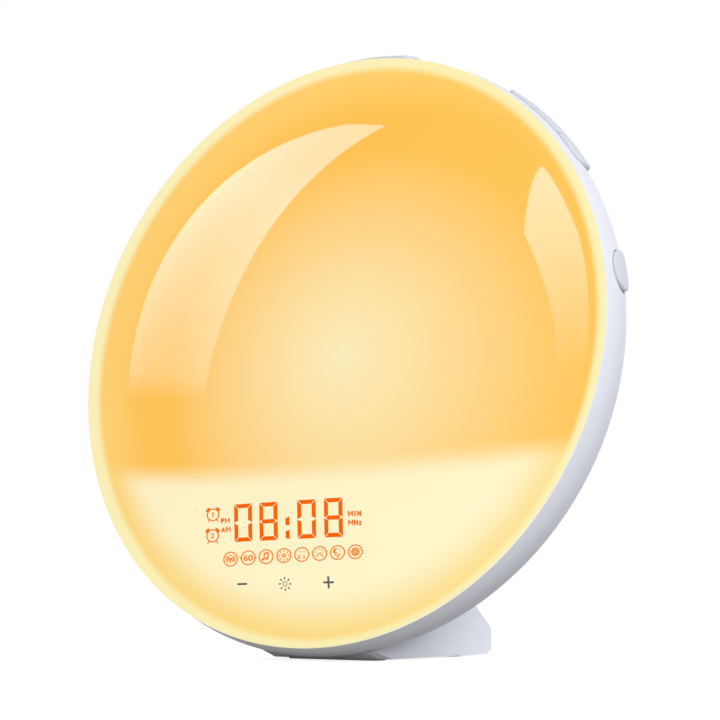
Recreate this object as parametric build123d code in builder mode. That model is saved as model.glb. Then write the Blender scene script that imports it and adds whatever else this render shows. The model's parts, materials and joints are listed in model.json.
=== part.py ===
from build123d import *
from math import acos, atan2, cos, degrees, pi, radians, sin, sqrt, tan
import os

# A sunrise alarm clock: a round domed lamp that leans back a little on a wedge foot, with a display window
# low in its lens and push buttons round its edge. Millimetres, +Z up, the face looks along -Y.
# The origin is on the table, under the middle of the clock's bounding box.

# ---------------------------------------------------------------- driving sizes

FACE_TILT = 7.0             # degrees that the face leans back

LENS_RADIUS = 90.0
LENS_WALL = 2.2
LENS_SPHERE = 296.0         # radius of the domed front
LENS_LAND = 0.4             # straight edge above the joint with the shell
LENS_EDGE_ROUND = 2.6
LENS_RIM_WALL = 4.0         # thickness of the lens at its edge
LENS_LIP_DEPTH = 1.4        # locating lip that drops inside the shell
LENS_LIP_WALL = 1.6

SHELL_BULGE = 1.6           # how far the widest part of the rear shell stands out past the lens
SHELL_WIDEST = 6.0          # depth of the widest part behind the joint
SHELL_DEPTH = 32.0
SHELL_WALL = 2.2
SHELL_ROUND = 33.6          # width of the rounded side, from the widest part to the flat back

FIT = 0.3                   # clearance round what moves
SEAT = 0.1                  # clearance between fixed pieces that only lie close
SCREW_FIT = 0.05            # radial clearance of a screw in its pilot hole

FOOT_CLEARANCE = 0.8        # gap between the shell's lowest point and the sole's plane
FOOT_PAD_PROUD = 0.5
FOOT_FRONT = 3.0            # places along Y, from the middle of the joint plane
FOOT_REAR = 57.0
FOOT_FRONT_HALF = 18.0      # half widths of the sole, front edge and behind its corner cuts
FOOT_CORNER_HALF = 20.4
FOOT_REAR_HALF = 27.5
FOOT_CORNER_CUT = 3.4
FOOT_NOSE = 7.5             # how far the foot reaches ahead of its sole, under the shell
FOOT_RAMP = 10.0            # run and rise of the ramp under the front of the foot
FOOT_RAMP_RISE = 3.5
FOOT_HEEL = 6.4             # height of the rear face, under the slope
FOOT_HEEL_UNDERCUT = 2.6
FOOT_HEEL_RUN = 4.6
FOOT_SLOPE = 39.0           # degrees of the rear slope
FOOT_WALL = 2.4
FOOT_ROUND = 2.6
FOOT_HEEL_ROUND = 1.2
FOOT_TOP = 30.0             # height of the wedge where it ends inside the shell's form
FOOT_CAVITY_FRONT = 8.0

PAD_WIDTH = 7.0
PAD_THICKNESS = 1.3
FRONT_PAD_LENGTH = 32.0
FRONT_PAD_PLACE = 8.5
REAR_PAD_SPREAD = 18.0
REAR_PAD_PLACE = 44.0

KEY_LEVEL = -7.6            # height of the buttons' middle line, along the face's normal
KEY_WIDTH = 9.0
KEY_PROUD = 1.0
SNOOZE_PROUD = 2.3          # the snooze key stands higher, to be found in the dark
KEY_TRAVEL = 0.8
KEY_ROUND = 0.6
KEY_FLANGE = 1.1            # how far the flange inside the wall laps the opening
KEY_FLANGE_THICKNESS = 1.2
KEY_STEM_RADIUS = 1.8
STRIP_ANGLE = 40.8          # places round the edge, degrees from +X
STRIP_LENGTH = 37.0
STRIP_KEYS = 3
SIDE_KEY_ANGLE = 8.15
SIDE_KEY_LENGTH = 11.8
SNOOZE_LENGTH = 48.0

SWITCH_SIZE = 6.0
SWITCH_HEIGHT = 3.5
SWITCH_PLUNGER_RADIUS = 1.7
SWITCH_PLUNGER_PROUD = 1.5
SWITCH_WELL = 2.2
SWITCH_INSET = 5.6          # the switches' front faces stand this far inside the lens's edge
BOARD = 1.6                 # thickness of every circuit board
POST = 4.0                  # width of the posts behind the switch boards
POST_DEPTH = 3.0

TRAY_INSET = 23.0           # the reflector tray's floor ends this far inside the lens's edge
TRAY_WALL = 2.0
TRAY_FLARE = 8.0            # how far the tray's rim leans outward
TRAY_TOP = 2.2
BAFFLE_GAP = 3.0            # from the display board up to the wall between lamp and display
BAFFLE_WALL = 1.6
LAMP_BOARD_GAP = 3.0        # from the lamp board's edge to the tray's wall
LED_EDGE = 6.0              # from the lamp board's edge to the outer ring of LEDs
LED_RING_PITCH = 18.0
LED_RING_COUNT = 3
LED_SPACING = 17.6          # between the LEDs of one ring
LED_LENGTH = 5.0
LED_HEIGHT = 1.6

DISPLAY_INSET = 11.0        # from the lens's lowest edge up to the display board
DISPLAY_HEIGHT = 35.0
DISPLAY_HALF = 42.0
DISPLAY_CORNER_INSET = 8.0  # the board's lower corners end this far inside the lens's edge
DISPLAY_MARGIN = 1.5        # how far the open side of the tray reaches past the display board
DIGIT_RISE = 23.5           # the digits' middle, up from the display board's lower edge
DIGIT_BLOCK_LENGTH = 44.0
DIGIT_BLOCK_WIDTH = 12.0
DIGIT_WIDTH = 5.8
DIGIT_HEIGHT = 10.4
DIGIT_STROKE = 1.1
DIGIT_BREAK = 0.22          # gap at the ends of a digit's bars
DIGIT_PITCH = 9.4
COLON_SPACE = 6.2
COLON_RISE = 2.1            # the colon's two dots stand this far above and below its middle
SEGMENT_DEPTH = 0.6
ICON_RISE = 14.0
ICON_PITCH = 6.0
ICON_COUNT = 8
ICON_WELL_RADIUS = 2.2
ICON_BAR_WIDTH = 6.6
ICON_BAR_END = 0.5          # length past the outer wells
ICON_BAR_ROUND = 1.0
TOUCH_RISE = 6.0
TOUCH_PITCH = 14.6
TOUCH_RADIUS = 4.0
TOUCH_TRIM = 30.0           # degrees of the dome's section that trim the pads
ICON_LED = 2.0
FRONT_GAP = 0.4             # free space between the lens and what stands behind it

MAIN_BOARD_LENGTH = 72.0
MAIN_BOARD_TOP = -10.0
MAIN_BOARD_BOTTOM = -46.0
MAIN_BOARD_RISE = 12.2      # from the shell's inner back to the main board
STANDOFF_INSET = 3.5
STANDOFF_RADIUS = 2.8
BOARD_SCREW_RADIUS = 1.1
BOARD_SCREW_LENGTH = 7.0
BOARD_SCREW_HEAD = 2.2
BOARD_SCREW_HEAD_HEIGHT = 1.4
# across, up, length, width, height
CHIPS = ((-14.0, -22.0, 14.0, 14.0, 1.6), (8.0, -20.0, 10.0, 6.0, 1.5), (24.0, -22.0, 5.0, 6.0, 1.5))
# across, up, radius, height
CAPACITORS = ((18.0, -34.0, 3.0, 4.6), (26.0, -34.0, 3.0, 4.6), (12.0, -38.0, 2.0, 4.0))

SHELL_SCREW_INSET = 5.0     # from the edge of the flat back to the shell screws
SHELL_SCREW_ANGLES = (44.0, 136.0, 207.0, 333.0)
SHELL_SCREW_RADIUS = 1.45
SHELL_SCREW_LENGTH = 10.0
SHELL_SCREW_HEAD = 2.8
SHELL_SCREW_HEAD_HEIGHT = 2.0
SHELL_SCREW_SLOT = 0.6      # width of the cross in their heads
SHELL_BOSS_RADIUS = 4.5
TRAY_BOSS_LENGTH = 4.0      # the tray's bosses reach back this far to the shell's
SHELL_RECESS_RADIUS = 3.3
SHELL_BOSS_FLOOR = 5.0      # thickness of the floor between recess and boss face

SPEAKER_PLACE = 24.0        # up the face from its middle
SPEAKER_RADIUS = 25.0
SPEAKER_OPENING = 21.0
SPEAKER_FLANGE = 1.2
SPEAKER_SEAT = 3.3
SPEAKER_GASKET = 0.7
SPEAKER_BASKET = 7.0
MAGNET_RADIUS = 14.0
MAGNET_HEIGHT = 5.0
MAGNET_GAP = 2.6            # free space between the magnet and the reflector tray
MAGNET_ROUND = 0.8
CONE_PAPER = 0.6            # thickness of the cone
CONE_SURROUND = 2.0         # width of its flat rim
CONE_CAP_RADIUS = 6.0       # the dust cap in its middle, and how deep it dips
CONE_CAP_DIP = 1.5
SPEAKER_EAR = 27.5
SPEAKER_EAR_RADIUS = 3.4
SPEAKER_SCREW_RADIUS = 1.1
GRILLE_HOLE = 0.9
GRILLE_PITCH = 4.0
GRILLE_RING_COUNT = 4
GRILLE_FIRST_RING = 6       # holes in the smallest ring, and how many more each next ring has

CELL_PLACE = (-20.0, -28.0)
CELL_RADIUS = 10.0
CELL_HEIGHT = 3.2
CELL_EDGE_ROUND = 0.4
CONTACT_THICKNESS = 0.3
CONTACT_WIDTH = 3.0
CONTACT_LEG = 0.6
CELL_COVER_RADIUS = 12.5
CELL_HOLDER_WALL = 1.2
CELL_LUG = 1.6
CELL_LUG_THICKNESS = 1.3
CELL_LUG_WIDTH = 6.0
CELL_TURN = 40.0            # degrees that the cover turns between locked and free
COIN_SLOT_LENGTH = 14.0
COIN_SLOT_WIDTH = 2.0
COIN_SLOT_DEPTH = 1.0

JACK_PLACE = (24.0, -34.0)
JACK_SIZE = 10.0
JACK_NECK_RADIUS = 4.2
JACK_WELL_RADIUS = 3.1
JACK_WELL_DEPTH = 9.5
JACK_PIN_RADIUS = 1.0
JACK_PIN_ROUND = 0.4
SOCKET_PLACE = (6.0, -35.0)
SOCKET_LENGTH = 13.2
SOCKET_WIDTH = 5.8
SOCKET_WALL = 0.4
SOCKET_TONGUE = 1.9         # thickness of the tongue and of the insulator that it stands on
SOCKET_TONGUE_SIDE = 0.5    # free space at the tongue's two sides
SOCKET_TONGUE_SETBACK = 1.0
GLAND_INSET = 12.0          # from the edge of the flat back to the antenna grommet
GLAND_LEVEL = 6.0           # its place up the face
GLAND_RADIUS = 3.0
GLAND_WIRE_RADIUS = 0.8
GLAND_FLANGE = 1.0          # width and thickness of the grommet's inner flange
LABEL_PLACE = (18.0, -16.0)
LABEL_LENGTH = 34.0
LABEL_WIDTH = 12.0
LABEL_DEPTH = 0.3
LABEL_ROUND = 1.6

FOOT_SCREW_SPREAD = 13.0    # half distance between the two screws that hold the foot
FOOT_SCREW_RADIUS = 1.45
FOOT_SCREW_LENGTH = 8.0
FOOT_SCREW_HEAD = 2.8
FOOT_SCREW_HEAD_HEIGHT = 1.8
FOOT_SCREW_PAD = 1.2        # thickness of the flat pads under their heads
FOOT_SCREW_ANGLE = 45.0     # degrees round the shell's side, from its widest part towards its back
FOOT_BOSS_RADIUS = 3.6
FOOT_BOSS_LENGTH = 7.5

RIBBON_WIDTH = 12.0
RIBBON_THICKNESS = 0.8
RIBBON_SETBACK = 2.4        # place of the ribbon behind the display board, from the board's top edge
RIBBON_CLEARANCE = 1.2      # free space round the ribbon in the tray's slot
RIBBON_BEND = 1.4
RIBBON_END = -32.0
CABLE_RISE = 3.2            # height of both cables' level runs above the main board
LEAD_RADIUS = 0.6
LEAD_SPREAD = 3.0
LEAD_BEND = 1.9
LEAD_INSET = 2.2            # where the leads leave the speaker, from its edge

# ---------------------------------------------------------------- worked-out places

tilt = radians(FACE_TILT)
SHELL_RADIUS = LENS_RADIUS + SHELL_BULGE
BACK_RADIUS = SHELL_RADIUS - SHELL_ROUND
SWITCH_FACE = LENS_RADIUS - SWITCH_INSET
TRAY_RADIUS = LENS_RADIUS - TRAY_INSET
LAMP_BOARD_RADIUS = TRAY_RADIUS - TRAY_WALL - LAMP_BOARD_GAP
DISPLAY_BOTTOM = DISPLAY_INSET - LENS_RADIUS
DISPLAY_TOP = DISPLAY_BOTTOM + DISPLAY_HEIGHT
DISPLAY_BOARD_RADIUS = LENS_RADIUS - DISPLAY_CORNER_INSET
BAFFLE_PLACE = DISPLAY_TOP + BAFFLE_GAP
DIGIT_CENTER = DISPLAY_BOTTOM + DIGIT_RISE
ICON_ROW = DISPLAY_BOTTOM + ICON_RISE
TOUCH_ROW = DISPLAY_BOTTOM + TOUCH_RISE
GLAND_PLACE = (BACK_RADIUS - GLAND_INSET, GLAND_LEVEL)
screw_circle = BACK_RADIUS - SHELL_SCREW_INSET
SHELL_SCREW_PLACES = [
    (screw_circle * cos(radians(angle)), screw_circle * sin(radians(angle))) for angle in SHELL_SCREW_ANGLES
]

# Section of the dome: centre and apex, as heights above the joint plane.
round_center = LENS_RADIUS - LENS_EDGE_ROUND
dome_center = LENS_LAND - sqrt((LENS_SPHERE - LENS_EDGE_ROUND) ** 2 - round_center ** 2)
LENS_RISE = dome_center + LENS_SPHERE
dome_edge_angle = degrees(atan2(LENS_LAND - dome_center, round_center))

# The face's middle is placed so that the finished clock's box is centred on the origin.
front_reach = LENS_SPHERE - (LENS_SPHERE - LENS_RISE) * cos(tilt)
FACE_Y = (front_reach - FOOT_REAR) / 2
sole_level = FOOT_PAD_PROUD
shell_drop = SHELL_RADIUS * cos(tilt) + SHELL_WIDEST * sin(tilt)
FACE_Z = sole_level + FOOT_CLEARANCE + shell_drop

face_normal = Vector(0, -cos(tilt), sin(tilt))
face_up = Vector(0, sin(tilt), cos(tilt))
face_middle = Vector(0, FACE_Y, FACE_Z)
face = Plane(origin=face_middle, x_dir=(1, 0, 0), z_dir=face_normal)
section = Plane(origin=face_middle, x_dir=(1, 0, 0), z_dir=face_up * -1)
face_axis = Axis(face_middle, face_normal)

# Heights along the face's normal, from the joint plane.
back_inside = -SHELL_DEPTH + SHELL_WALL
back_middle = -SHELL_DEPTH + SHELL_WALL / 2
MAIN_BOARD_LEVEL = back_inside + MAIN_BOARD_RISE
seat_level = back_inside + SPEAKER_SEAT
flange_level = seat_level + SPEAKER_GASKET
basket_level = flange_level + SPEAKER_FLANGE
magnet_level = basket_level + SPEAKER_BASKET
TRAY_LEVEL = magnet_level + MAGNET_HEIGHT + MAGNET_GAP
SHELL_BOSS_LEVEL = TRAY_LEVEL - TRAY_BOSS_LENGTH
SHELL_RECESS_FLOOR = SHELL_BOSS_LEVEL - SHELL_BOSS_FLOOR

# The foot's screws stand square to the shell's curved side, low on the back.
side_across = SHELL_RADIUS - BACK_RADIUS
side_deep = SHELL_DEPTH - SHELL_WIDEST
screw_turn = radians(FOOT_SCREW_ANGLE)
screw_out = Vector(cos(screw_turn) / side_across, -sin(screw_turn) / side_deep, 0).normalized()
foot_screw_plane = Plane(
    origin=face_middle
    - face_up * (BACK_RADIUS + side_across * cos(screw_turn))
    - face_normal * (SHELL_WIDEST + side_deep * sin(screw_turn)),
    x_dir=(1, 0, 0),
    z_dir=face_up * -screw_out.X + face_normal * screw_out.Y,
)


def dome_height(radius, wall=LENS_WALL):
    """Height of the lens's inner face above the joint plane, at a distance from the axis."""
    return dome_center + sqrt((LENS_SPHERE - wall) ** 2 - radius ** 2)


def key_plane(angle, radius):
    """A plane that faces outward along a button's travel."""
    turn = radians(angle)
    outward = Vector(1, 0, 0) * cos(turn) + face_up * sin(turn)
    along = Vector(1, 0, 0) * -sin(turn) + face_up * cos(turn)
    return Plane(origin=face_middle + outward * radius + face_normal * KEY_LEVEL, x_dir=along, z_dir=outward)


def shell_outline(grow):
    """The rear shell's outer outline from its back to its rim, moved outward by a distance."""
    Line((0, -SHELL_DEPTH - grow), (BACK_RADIUS, -SHELL_DEPTH - grow))
    EllipticalCenterArc(
        center=(BACK_RADIUS, -SHELL_WIDEST),
        x_radius=SHELL_RADIUS - BACK_RADIUS + grow,
        y_radius=SHELL_DEPTH - SHELL_WIDEST + grow,
        start_angle=270,
        arc_size=90,
    )
    TangentArc((SHELL_RADIUS + grow, -SHELL_WIDEST), (LENS_RADIUS + grow, 0), tangent=(0, 1))


def shell_form(grow):
    """A full solid of the rear shell's outer shape, moved outward by a distance."""
    with BuildPart() as form:
        with BuildSketch(section):
            with BuildLine():
                shell_outline(grow)
                Line((LENS_RADIUS + grow, 0), (0, 0))
                Line((0, 0), (0, -SHELL_DEPTH - grow))
            make_face()
        revolve(axis=face_axis)
    return form.part


def rim_band(outer_grow, inner_grow):
    """A ring that follows the shell's side between two distances from its outer surface."""
    with BuildPart() as band:
        with BuildSketch(section):
            for grow, mode in ((outer_grow, Mode.ADD), (inner_grow, Mode.SUBTRACT)):
                with BuildLine():
                    upper = (LENS_RADIUS + grow, -LENS_LIP_DEPTH - FIT)
                    middle = (SHELL_RADIUS + grow, -SHELL_WIDEST)
                    lower = (LENS_RADIUS + grow, 2 * KEY_LEVEL - upper[1])
                    ThreePointArc(upper, middle, lower)
                    Polyline(lower, (TRAY_RADIUS, lower[1]), (TRAY_RADIUS, upper[1]), upper)
                make_face(mode=mode)
        revolve(axis=face_axis)
    return band.part


def save(name, builder):
    """Label a finished sub-part and write it as its own STEP file."""
    builder.part.label = name
    export_step(builder.part, f"parts/{name}.step")


os.makedirs("parts", exist_ok=True)

# ---------------------------------------------------------------- front lens

with BuildPart() as front_lens:
    with BuildSketch(section):
        with BuildLine():
            rim_inner = LENS_RADIUS - LENS_RIM_WALL
            lip_outer = rim_inner + LENS_LIP_WALL
            inner_angle = degrees(acos(rim_inner / (LENS_SPHERE - LENS_WALL)))
            CenterArc((0, dome_center), LENS_SPHERE, dome_edge_angle, 90 - dome_edge_angle)
            CenterArc((round_center, LENS_LAND), LENS_EDGE_ROUND, 0, dome_edge_angle)
            Polyline((LENS_RADIUS, LENS_LAND), (LENS_RADIUS, 0), (lip_outer, 0), (lip_outer, -LENS_LIP_DEPTH))
            Line((lip_outer, -LENS_LIP_DEPTH), (rim_inner, -LENS_LIP_DEPTH))
            Line((rim_inner, -LENS_LIP_DEPTH), (rim_inner, dome_height(rim_inner)))
            CenterArc((0, dome_center), LENS_SPHERE - LENS_WALL, inner_angle, 90 - inner_angle)
            Line((0, LENS_RISE - LENS_WALL), (0, LENS_RISE))
        make_face()
    revolve(axis=face_axis)

save("front_lens", front_lens)

# ---------------------------------------------------------------- button layout

strip_pitch = STRIP_LENGTH / STRIP_KEYS
# Each button: angle round the edge, length of its opening, its place along it, buttons in the opening.
BUTTONS = {"snooze_key": (90.0, SNOOZE_LENGTH, 0.0, 1)}
for side, mirrored in (("right", False), ("left", True)):
    strip_angle = 180 - STRIP_ANGLE if mirrored else STRIP_ANGLE
    side_angle = 180 - SIDE_KEY_ANGLE if mirrored else SIDE_KEY_ANGLE
    for index in range(STRIP_KEYS):
        place = ((STRIP_KEYS - 1) / 2 - index) * strip_pitch
        if mirrored:
            place = -place
        BUTTONS[f"{side}_key_{index + 1}"] = (strip_angle, STRIP_LENGTH, place, STRIP_KEYS)
    BUTTONS[f"{side}_side_key"] = (side_angle, SIDE_KEY_LENGTH, 0.0, 1)

OPENINGS = sorted({(angle, length, count) for angle, length, place, count in BUTTONS.values()})
switch_base = SWITCH_FACE - SWITCH_HEIGHT
board_base = switch_base - BOARD


def board_length(length, count):
    """A switch board's length behind an opening that holds a count of buttons."""
    return (count - 1) * length / count + SWITCH_SIZE + 2 * POST


def key_outline(length, grow):
    """A button opening's outline, grown by a distance: an oval when short, else a rounded slot."""
    if length < 2 * KEY_WIDTH:
        Ellipse(length / 2 + grow, KEY_WIDTH / 2 + grow)
    else:
        SlotOverall(length + 2 * grow, KEY_WIDTH + 2 * grow)


# ---------------------------------------------------------------- rear shell

with BuildPart() as board_posts:
    for angle, length, count in OPENINGS:
        for end in (-1, 1):
            base = key_plane(angle, board_base - POST_DEPTH)
            with BuildSketch(base):
                with Locations((end * (board_length(length, count) - POST) / 2, -SHELL_DEPTH / 2)):
                    Rectangle(POST, SHELL_DEPTH + KEY_WIDTH / 2)
            extrude(amount=POST_DEPTH)
    add(shell_form(-SHELL_WALL / 2), mode=Mode.INTERSECT)

with BuildPart() as rear_shell:
    with BuildSketch(section):
        with BuildLine():
            shell_outline(0)
            Line((LENS_RADIUS, 0), (LENS_RADIUS - SHELL_WALL, 0))
            shell_outline(-SHELL_WALL)
            Line((0, back_inside), (0, -SHELL_DEPTH))
        make_face()
    revolve(axis=face_axis)
    add(board_posts.part)

    # screw bosses, board standoffs, speaker seat and speaker bosses rise from the back
    with BuildSketch(face.offset(back_middle)):
        with Locations(*SHELL_SCREW_PLACES):
            Circle(SHELL_BOSS_RADIUS)
    extrude(amount=SHELL_BOSS_LEVEL - back_middle)
    with BuildSketch(face.offset(back_middle)):
        with Locations((0, (MAIN_BOARD_TOP + MAIN_BOARD_BOTTOM) / 2)):
            with GridLocations(
                MAIN_BOARD_LENGTH - 2 * STANDOFF_INSET,
                MAIN_BOARD_TOP - MAIN_BOARD_BOTTOM - 2 * STANDOFF_INSET,
                2,
                2,
            ):
                Circle(STANDOFF_RADIUS)
    extrude(amount=MAIN_BOARD_LEVEL - back_middle)
    with BuildSketch(face.offset(back_middle)):
        with Locations((0, SPEAKER_PLACE)):
            Circle(SPEAKER_RADIUS)
            Circle(SPEAKER_OPENING, mode=Mode.SUBTRACT)
            with PolarLocations(SPEAKER_EAR, 4, start_angle=45):
                Circle(SPEAKER_EAR_RADIUS)
            Circle(SPEAKER_OPENING, mode=Mode.SUBTRACT)
    extrude(amount=back_inside + SPEAKER_SEAT - back_middle)

    # pilot holes and recesses
    with BuildSketch(face.offset(-SHELL_DEPTH)):
        with Locations(*SHELL_SCREW_PLACES):
            Circle(SHELL_RECESS_RADIUS)
    extrude(amount=SHELL_DEPTH + SHELL_RECESS_FLOOR, mode=Mode.SUBTRACT)
    with BuildSketch(face.offset(SHELL_RECESS_FLOOR)):
        with Locations(*SHELL_SCREW_PLACES):
            Circle(SHELL_SCREW_RADIUS + SEAT)
    extrude(amount=SHELL_BOSS_LEVEL - SHELL_RECESS_FLOOR, mode=Mode.SUBTRACT)
    with BuildSketch(face.offset(MAIN_BOARD_LEVEL)):
        with Locations((0, (MAIN_BOARD_TOP + MAIN_BOARD_BOTTOM) / 2)):
            with GridLocations(
                MAIN_BOARD_LENGTH - 2 * STANDOFF_INSET,
                MAIN_BOARD_TOP - MAIN_BOARD_BOTTOM - 2 * STANDOFF_INSET,
                2,
                2,
            ):
                Circle(BOARD_SCREW_RADIUS + SCREW_FIT)
    extrude(amount=-BOARD_SCREW_LENGTH, mode=Mode.SUBTRACT)
    with BuildSketch(face.offset(back_inside + SPEAKER_SEAT)):
        with Locations((0, SPEAKER_PLACE)):
            with PolarLocations(SPEAKER_EAR, 4, start_angle=45):
                Circle(SPEAKER_SCREW_RADIUS + SCREW_FIT)
    extrude(amount=-SPEAKER_SEAT, mode=Mode.SUBTRACT)

    # speaker grille
    with BuildSketch(face.offset(-SHELL_DEPTH)):
        with Locations((0, SPEAKER_PLACE)):
            Circle(GRILLE_HOLE)
            for ring in range(1, GRILLE_RING_COUNT + 1):
                with PolarLocations(ring * GRILLE_PITCH, ring * GRILLE_FIRST_RING):
                    Circle(GRILLE_HOLE)
    extrude(amount=SHELL_WALL, mode=Mode.SUBTRACT)

    # coin cell opening with the two notches that let the cover's lugs in
    with BuildSketch(face.offset(-SHELL_DEPTH)):
        with Locations(CELL_PLACE):
            Circle(CELL_COVER_RADIUS + FIT)
            with Locations(Rotation(0, 0, CELL_TURN)):
                Rectangle(2 * (CELL_COVER_RADIUS + CELL_LUG + FIT), CELL_LUG_WIDTH + 2 * FIT)
    extrude(amount=SHELL_WALL, mode=Mode.SUBTRACT)

    # power inlet, charging socket, antenna grommet
    with BuildSketch(face.offset(-SHELL_DEPTH)):
        with Locations(JACK_PLACE):
            Circle(JACK_NECK_RADIUS + SEAT)
        with Locations(SOCKET_PLACE):
            Rectangle(SOCKET_LENGTH + 2 * SEAT, SOCKET_WIDTH + 2 * SEAT)
        with Locations(GLAND_PLACE):
            Circle(GLAND_RADIUS)
    extrude(amount=SHELL_WALL, mode=Mode.SUBTRACT)

    # bare label field
    with BuildSketch(face.offset(-SHELL_DEPTH)):
        with Locations(LABEL_PLACE):
            RectangleRounded(LABEL_LENGTH, LABEL_WIDTH, LABEL_ROUND)
    extrude(amount=LABEL_DEPTH, mode=Mode.SUBTRACT)

    # pads and holes for the screws that hold the foot
    with BuildSketch(foot_screw_plane.offset(-SHELL_WALL / 2)):
        with Locations((FOOT_SCREW_SPREAD, 0), (-FOOT_SCREW_SPREAD, 0)):
            Circle(FOOT_BOSS_RADIUS)
    extrude(amount=-SHELL_WALL / 2 - FOOT_SCREW_PAD)
    with BuildSketch(foot_screw_plane.offset(SHELL_WALL)):
        with Locations((FOOT_SCREW_SPREAD, 0), (-FOOT_SCREW_SPREAD, 0)):
            Circle(FOOT_SCREW_RADIUS + SEAT)
    extrude(amount=-3 * SHELL_WALL - FOOT_SCREW_PAD, mode=Mode.SUBTRACT)

    # openings for the edge buttons
    for angle, length, count in OPENINGS:
        with BuildSketch(key_plane(angle, board_base)):
            key_outline(length, FIT)
        extrude(amount=LENS_RADIUS, mode=Mode.SUBTRACT)

save("rear_shell", rear_shell)

# ---------------------------------------------------------------- edge buttons and their switches

key_bands = {
    proud: rim_band(proud, -SHELL_WALL - FIT - KEY_FLANGE_THICKNESS) for proud in (KEY_PROUD, SNOOZE_PROUD)
}
flange_band = rim_band(-SHELL_WALL - FIT, -SHELL_WALL - FIT - KEY_FLANGE_THICKNESS)

for name, (angle, length, place, count) in BUTTONS.items():
    base = key_plane(angle, board_base)
    width = length if count == 1 else length / count - FIT
    stem_base = SWITCH_FACE + SWITCH_PLUNGER_PROUD - board_base

    with BuildPart() as flange:
        with BuildSketch(base):
            key_outline(length, KEY_FLANGE)
            with Locations((place, 0)):
                Rectangle(width + (2 * KEY_FLANGE if count == 1 else 0), 2 * KEY_WIDTH, mode=Mode.INTERSECT)
        extrude(amount=LENS_RADIUS)
        add(flange_band, mode=Mode.INTERSECT)

    with BuildPart() as key:
        with BuildSketch(base):
            key_outline(length, 0)
            with Locations((place, 0)):
                Rectangle(width, KEY_WIDTH, mode=Mode.INTERSECT)
        extrude(amount=LENS_RADIUS)
        add(key_bands[SNOOZE_PROUD if name == "snooze_key" else KEY_PROUD], mode=Mode.INTERSECT)
        crown = key.faces().sort_by(Axis(base.origin, base.z_dir))[-1]
        fillet(crown.edges(), radius=KEY_ROUND)
        add(flange.part)
        with BuildSketch(base.offset(stem_base)):
            with Locations((place, 0)):
                Circle(KEY_STEM_RADIUS)
        extrude(amount=SHELL_RADIUS - SHELL_WALL - FIT - board_base - stem_base - 2 * KEY_FLANGE_THICKNESS / 3)
    save(name, key)

    with BuildPart() as plunger:
        with BuildSketch(base.offset(SWITCH_FACE - board_base - SWITCH_WELL + KEY_TRAVEL + SEAT)):
            with Locations((place, 0)):
                Circle(SWITCH_PLUNGER_RADIUS)
        extrude(amount=SWITCH_PLUNGER_PROUD + SWITCH_WELL - KEY_TRAVEL - SEAT)
    save(name.replace("key", "plunger"), plunger)

with BuildPart() as tact_switches:
    for angle, length, place, count in BUTTONS.values():
        with BuildSketch(key_plane(angle, switch_base)):
            with Locations((place, 0)):
                Rectangle(SWITCH_SIZE, SWITCH_SIZE)
        extrude(amount=SWITCH_HEIGHT)
    for angle, length, place, count in BUTTONS.values():
        with BuildSketch(key_plane(angle, SWITCH_FACE)):
            with Locations((place, 0)):
                Circle(SWITCH_PLUNGER_RADIUS + FIT)
        extrude(amount=-SWITCH_WELL, mode=Mode.SUBTRACT)

save("tact_switches", tact_switches)

with BuildPart() as switch_boards:
    for angle, length, count in OPENINGS:
        with BuildSketch(key_plane(angle, board_base)):
            Rectangle(board_length(length, count), KEY_WIDTH)
        extrude(amount=BOARD)

save("switch_boards", switch_boards)

# ---------------------------------------------------------------- lamp chamber

with BuildPart() as reflector_tray:
    with BuildSketch(section):
        with BuildLine():
            Polyline(
                (0, TRAY_LEVEL),
                (TRAY_RADIUS, TRAY_LEVEL),
                (TRAY_RADIUS + TRAY_FLARE, TRAY_TOP),
                (TRAY_RADIUS + TRAY_FLARE - TRAY_WALL, TRAY_TOP),
                (TRAY_RADIUS - TRAY_WALL, TRAY_LEVEL + TRAY_WALL),
                (0, TRAY_LEVEL + TRAY_WALL),
                close=True,
            )
        make_face()
    revolve(axis=face_axis)
    with BuildSketch(face.offset(TRAY_LEVEL)):
        with Locations(*SHELL_SCREW_PLACES):
            Circle(SHELL_BOSS_RADIUS)
    extrude(amount=SHELL_BOSS_LEVEL - TRAY_LEVEL)
    with BuildSketch(face.offset(SHELL_BOSS_LEVEL)):
        with Locations(*SHELL_SCREW_PLACES):
            Circle(SHELL_SCREW_RADIUS + SCREW_FIT)
    extrude(amount=SHELL_SCREW_LENGTH + SHELL_RECESS_FLOOR - SHELL_BOSS_LEVEL + SEAT, mode=Mode.SUBTRACT)
    # the rim is open where the display stands, and the floor has a slot for its ribbon
    with BuildSketch(face.offset(TRAY_LEVEL + TRAY_WALL)):
        with Locations((0, DISPLAY_TOP + DISPLAY_MARGIN)):
            Rectangle(2 * (DISPLAY_HALF + DISPLAY_MARGIN), LENS_RADIUS, align=(Align.CENTER, Align.MAX))
    extrude(amount=LENS_RISE, mode=Mode.SUBTRACT)
    with BuildSketch(face.offset(TRAY_LEVEL)):
        with Locations((0, DISPLAY_TOP - RIBBON_SETBACK)):
            Rectangle(RIBBON_WIDTH + 2 * RIBBON_CLEARANCE, RIBBON_THICKNESS + 2 * RIBBON_CLEARANCE)
    extrude(amount=TRAY_WALL, mode=Mode.SUBTRACT)

save("reflector_tray", reflector_tray)

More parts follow.
